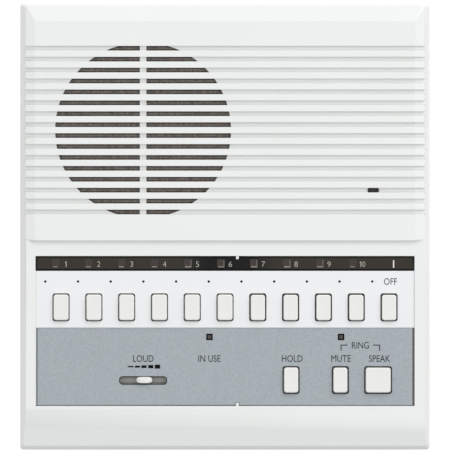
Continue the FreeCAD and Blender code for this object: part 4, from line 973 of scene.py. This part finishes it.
# %% Set the words
CONDENSED = 0.8
NUMBER_HEIGHT, WORD_HEIGHT = 2.6, 3.2
NUMBERS_Y, WORDS_Y = -17.95, -62.85
THIN = -0.012
DIGIT_WIDTHS = (1.5, 1.4, 1.6, 1.5, 1.6, 1.6, 1.6, 1.6)
FIGURE_ONE = np.array([(0.05, -1.3), (0.38, -1.3), (0.38, 1.3), (0.14, 1.3), (-0.42, 0.72),
                       (-0.3, 0.46), (0.05, 0.86)])
CONTROL_WORDS = {"LOUD": (-38.85, WORDS_Y), "IN USE": (-7.4, WORDS_Y), "HOLD": (31.95, WORDS_Y),
                 "MUTE": (55.2, WORDS_Y), "SPEAK": (73.5, WORDS_Y), "RING": (64.4, -56.55)}


def lettering(text, x_middle, y_middle, height, width=0.0, thin=0.0):
    """Outline of a word: its points scale from their own extent to the box round the middle."""
    curve = bpy.data.curves.new("word", "FONT")
    curve.body = text
    curve.offset = thin
    curve.extrude = 0.01
    curve.resolution_u = 3
    holder = bpy.data.objects.new("word", curve)
    bpy.context.scene.collection.objects.link(holder)
    mesh = bpy.data.meshes.new_from_object(holder)
    flat = np.empty(len(mesh.vertices) * 3)
    mesh.vertices.foreach_get("co", flat)
    points = flat.reshape(-1, 3)
    faces = [list(face.vertices) for face in mesh.polygons]
    bpy.data.objects.remove(holder)
    bpy.data.curves.remove(curve)
    bpy.data.meshes.remove(mesh)
    lowest, highest = points.min(axis=0), points.max(axis=0)
    own_width, own_height, _depth = highest - lowest
    width = width or own_width / own_height * height * CONDENSED
    share = (points - lowest) / (highest - lowest)
    box_low = np.array([x_middle - width / 2, y_middle - height / 2, PLATE_TOP])
    return box_low + share * np.array([width, height, INK]), faces


digits = [lettering(str(index + 2), -60.05 + 15.65 * index, NUMBERS_Y, NUMBER_HEIGHT, width, THIN)
          for index, width in enumerate(DIGIT_WIDTHS)]
digits.append(lettering("0", 66.05, NUMBERS_Y, NUMBER_HEIGHT, 1.35, THIN))
digits += [ink_slab(FIGURE_ONE + np.array([x, NUMBERS_Y])) for x in (-75.75, 64.45)]
flat_piece("station_numbers", digits, pale_ink)

off_word = lettering("OFF", 78.7, SELECTOR_WORDS_Y, WORD_HEIGHT)
flat_piece("selector_words", [off_word], dark_ink)
words = [lettering(word, x, y, WORD_HEIGHT) for word, (x, y) in CONTROL_WORDS.items()]
flat_piece("control_words", words, dark_ink)
print("words", len(words) + 1, "numbers", len(digits) - 1, "OFF is",
      round(float(np.ptp(off_word[0][:, 0])), 2), "mm wide")

# %% [markdown]
# ## Station lamps behind the window
# Through the smoked window each unlit lamp shows as a dull reddish square with a pale bar at
# its front edge, where its lead frame catches the light, on some lamps more than on others,
# and on those from the fifth to the ninth the frame's thin post shows at the right as well.

# %% Station lamp marks
LAMP_X, LAMP_PITCH = -80.5, 15.7
FRAME_Y = -19.2
GLEAM = (0.4, 0.53, 0.62, 0.52, 0.66, 0.5, 0.64, 0.66, 0.6, 0.38)
POSTS = range(4, 9)

lamp_faces, lamp_frames = [], []
for index, height in enumerate(GLEAM):
    middle = LAMP_X + LAMP_PITCH * index
    right = 1.65 if index in POSTS else 0.95
    frame_top = FRAME_Y + height / 2
    lamp_faces.append(bar(middle - 1.7, -18.8, middle + 1.7, -15.6, thickness=0.02))
    lamp_frames.append(bar(middle - 1.35, FRAME_Y - height / 2, middle + right, frame_top,
                           thickness=0.03))
    if index in POSTS:
        lamp_frames.append(bar(middle + 1.4, frame_top, middle + right, -16.0, thickness=0.03))
flat_piece("station_lamp_faces", lamp_faces, lamp_epoxy)
flat_piece("station_lamp_frames", lamp_frames, lead_frame)
flat_piece("end_mark", [bar(79.9, -19.7, 80.5, -16.1)], end_ink)
print("lamp marks", len(lamp_faces), "frames and posts", len(lamp_frames))

# %% [markdown]
# ## Lamps in the control plate
# The two lamps in the control plate have a small domed lens inside a black rim, a thin dark
# slab that is painted shade of the gap round the lens. The lens is made of rings as well:
# rounded squares that shrink as they rise over the rim.

# %% Rims and lenses
PLATE_LAMPS = ((-7.4, -52.6), (55.2, -52.6))
RIM_HALF, LENS_HALF, LENS_CORNER = 1.36, 0.88, 0.25


def lamp_lens(x, y, low, rim, dome):
    """Rounded squares times 0.98 * cos t, at rim + dome * sin t, over a short wall."""
    rise = np.linspace(0.0, math.pi / 2 * 0.95, 8)
    share = np.concatenate([[1.0], np.cos(rise) * 0.98])
    level = np.concatenate([[low], rim + dome * np.sin(rise)])
    across, along = loop_of_corners(LENS_HALF, LENS_HALF, LENS_CORNER).T
    return joined_rings(ring_grid(x + across * share[:, None], y + along * share[:, None], level))


# painted shade: a black square where the gap round each lens lies in shade
rim_shades = [bar(x - RIM_HALF, y - RIM_HALF, x + RIM_HALF, y + RIM_HALF, low=52.09, thickness=0.05)
        for x, y in PLATE_LAMPS]
flat_piece("lamp_rims", rim_shades, black_ink)
lenses = [lamp_lens(x, y, 52.1, 52.16, 0.12) for x, y in PLATE_LAMPS]
new_piece("lamp_lenses", lenses, lens_epoxy, "case")
print("rim_shades", len(rim_shades), "lenses", len(lenses))
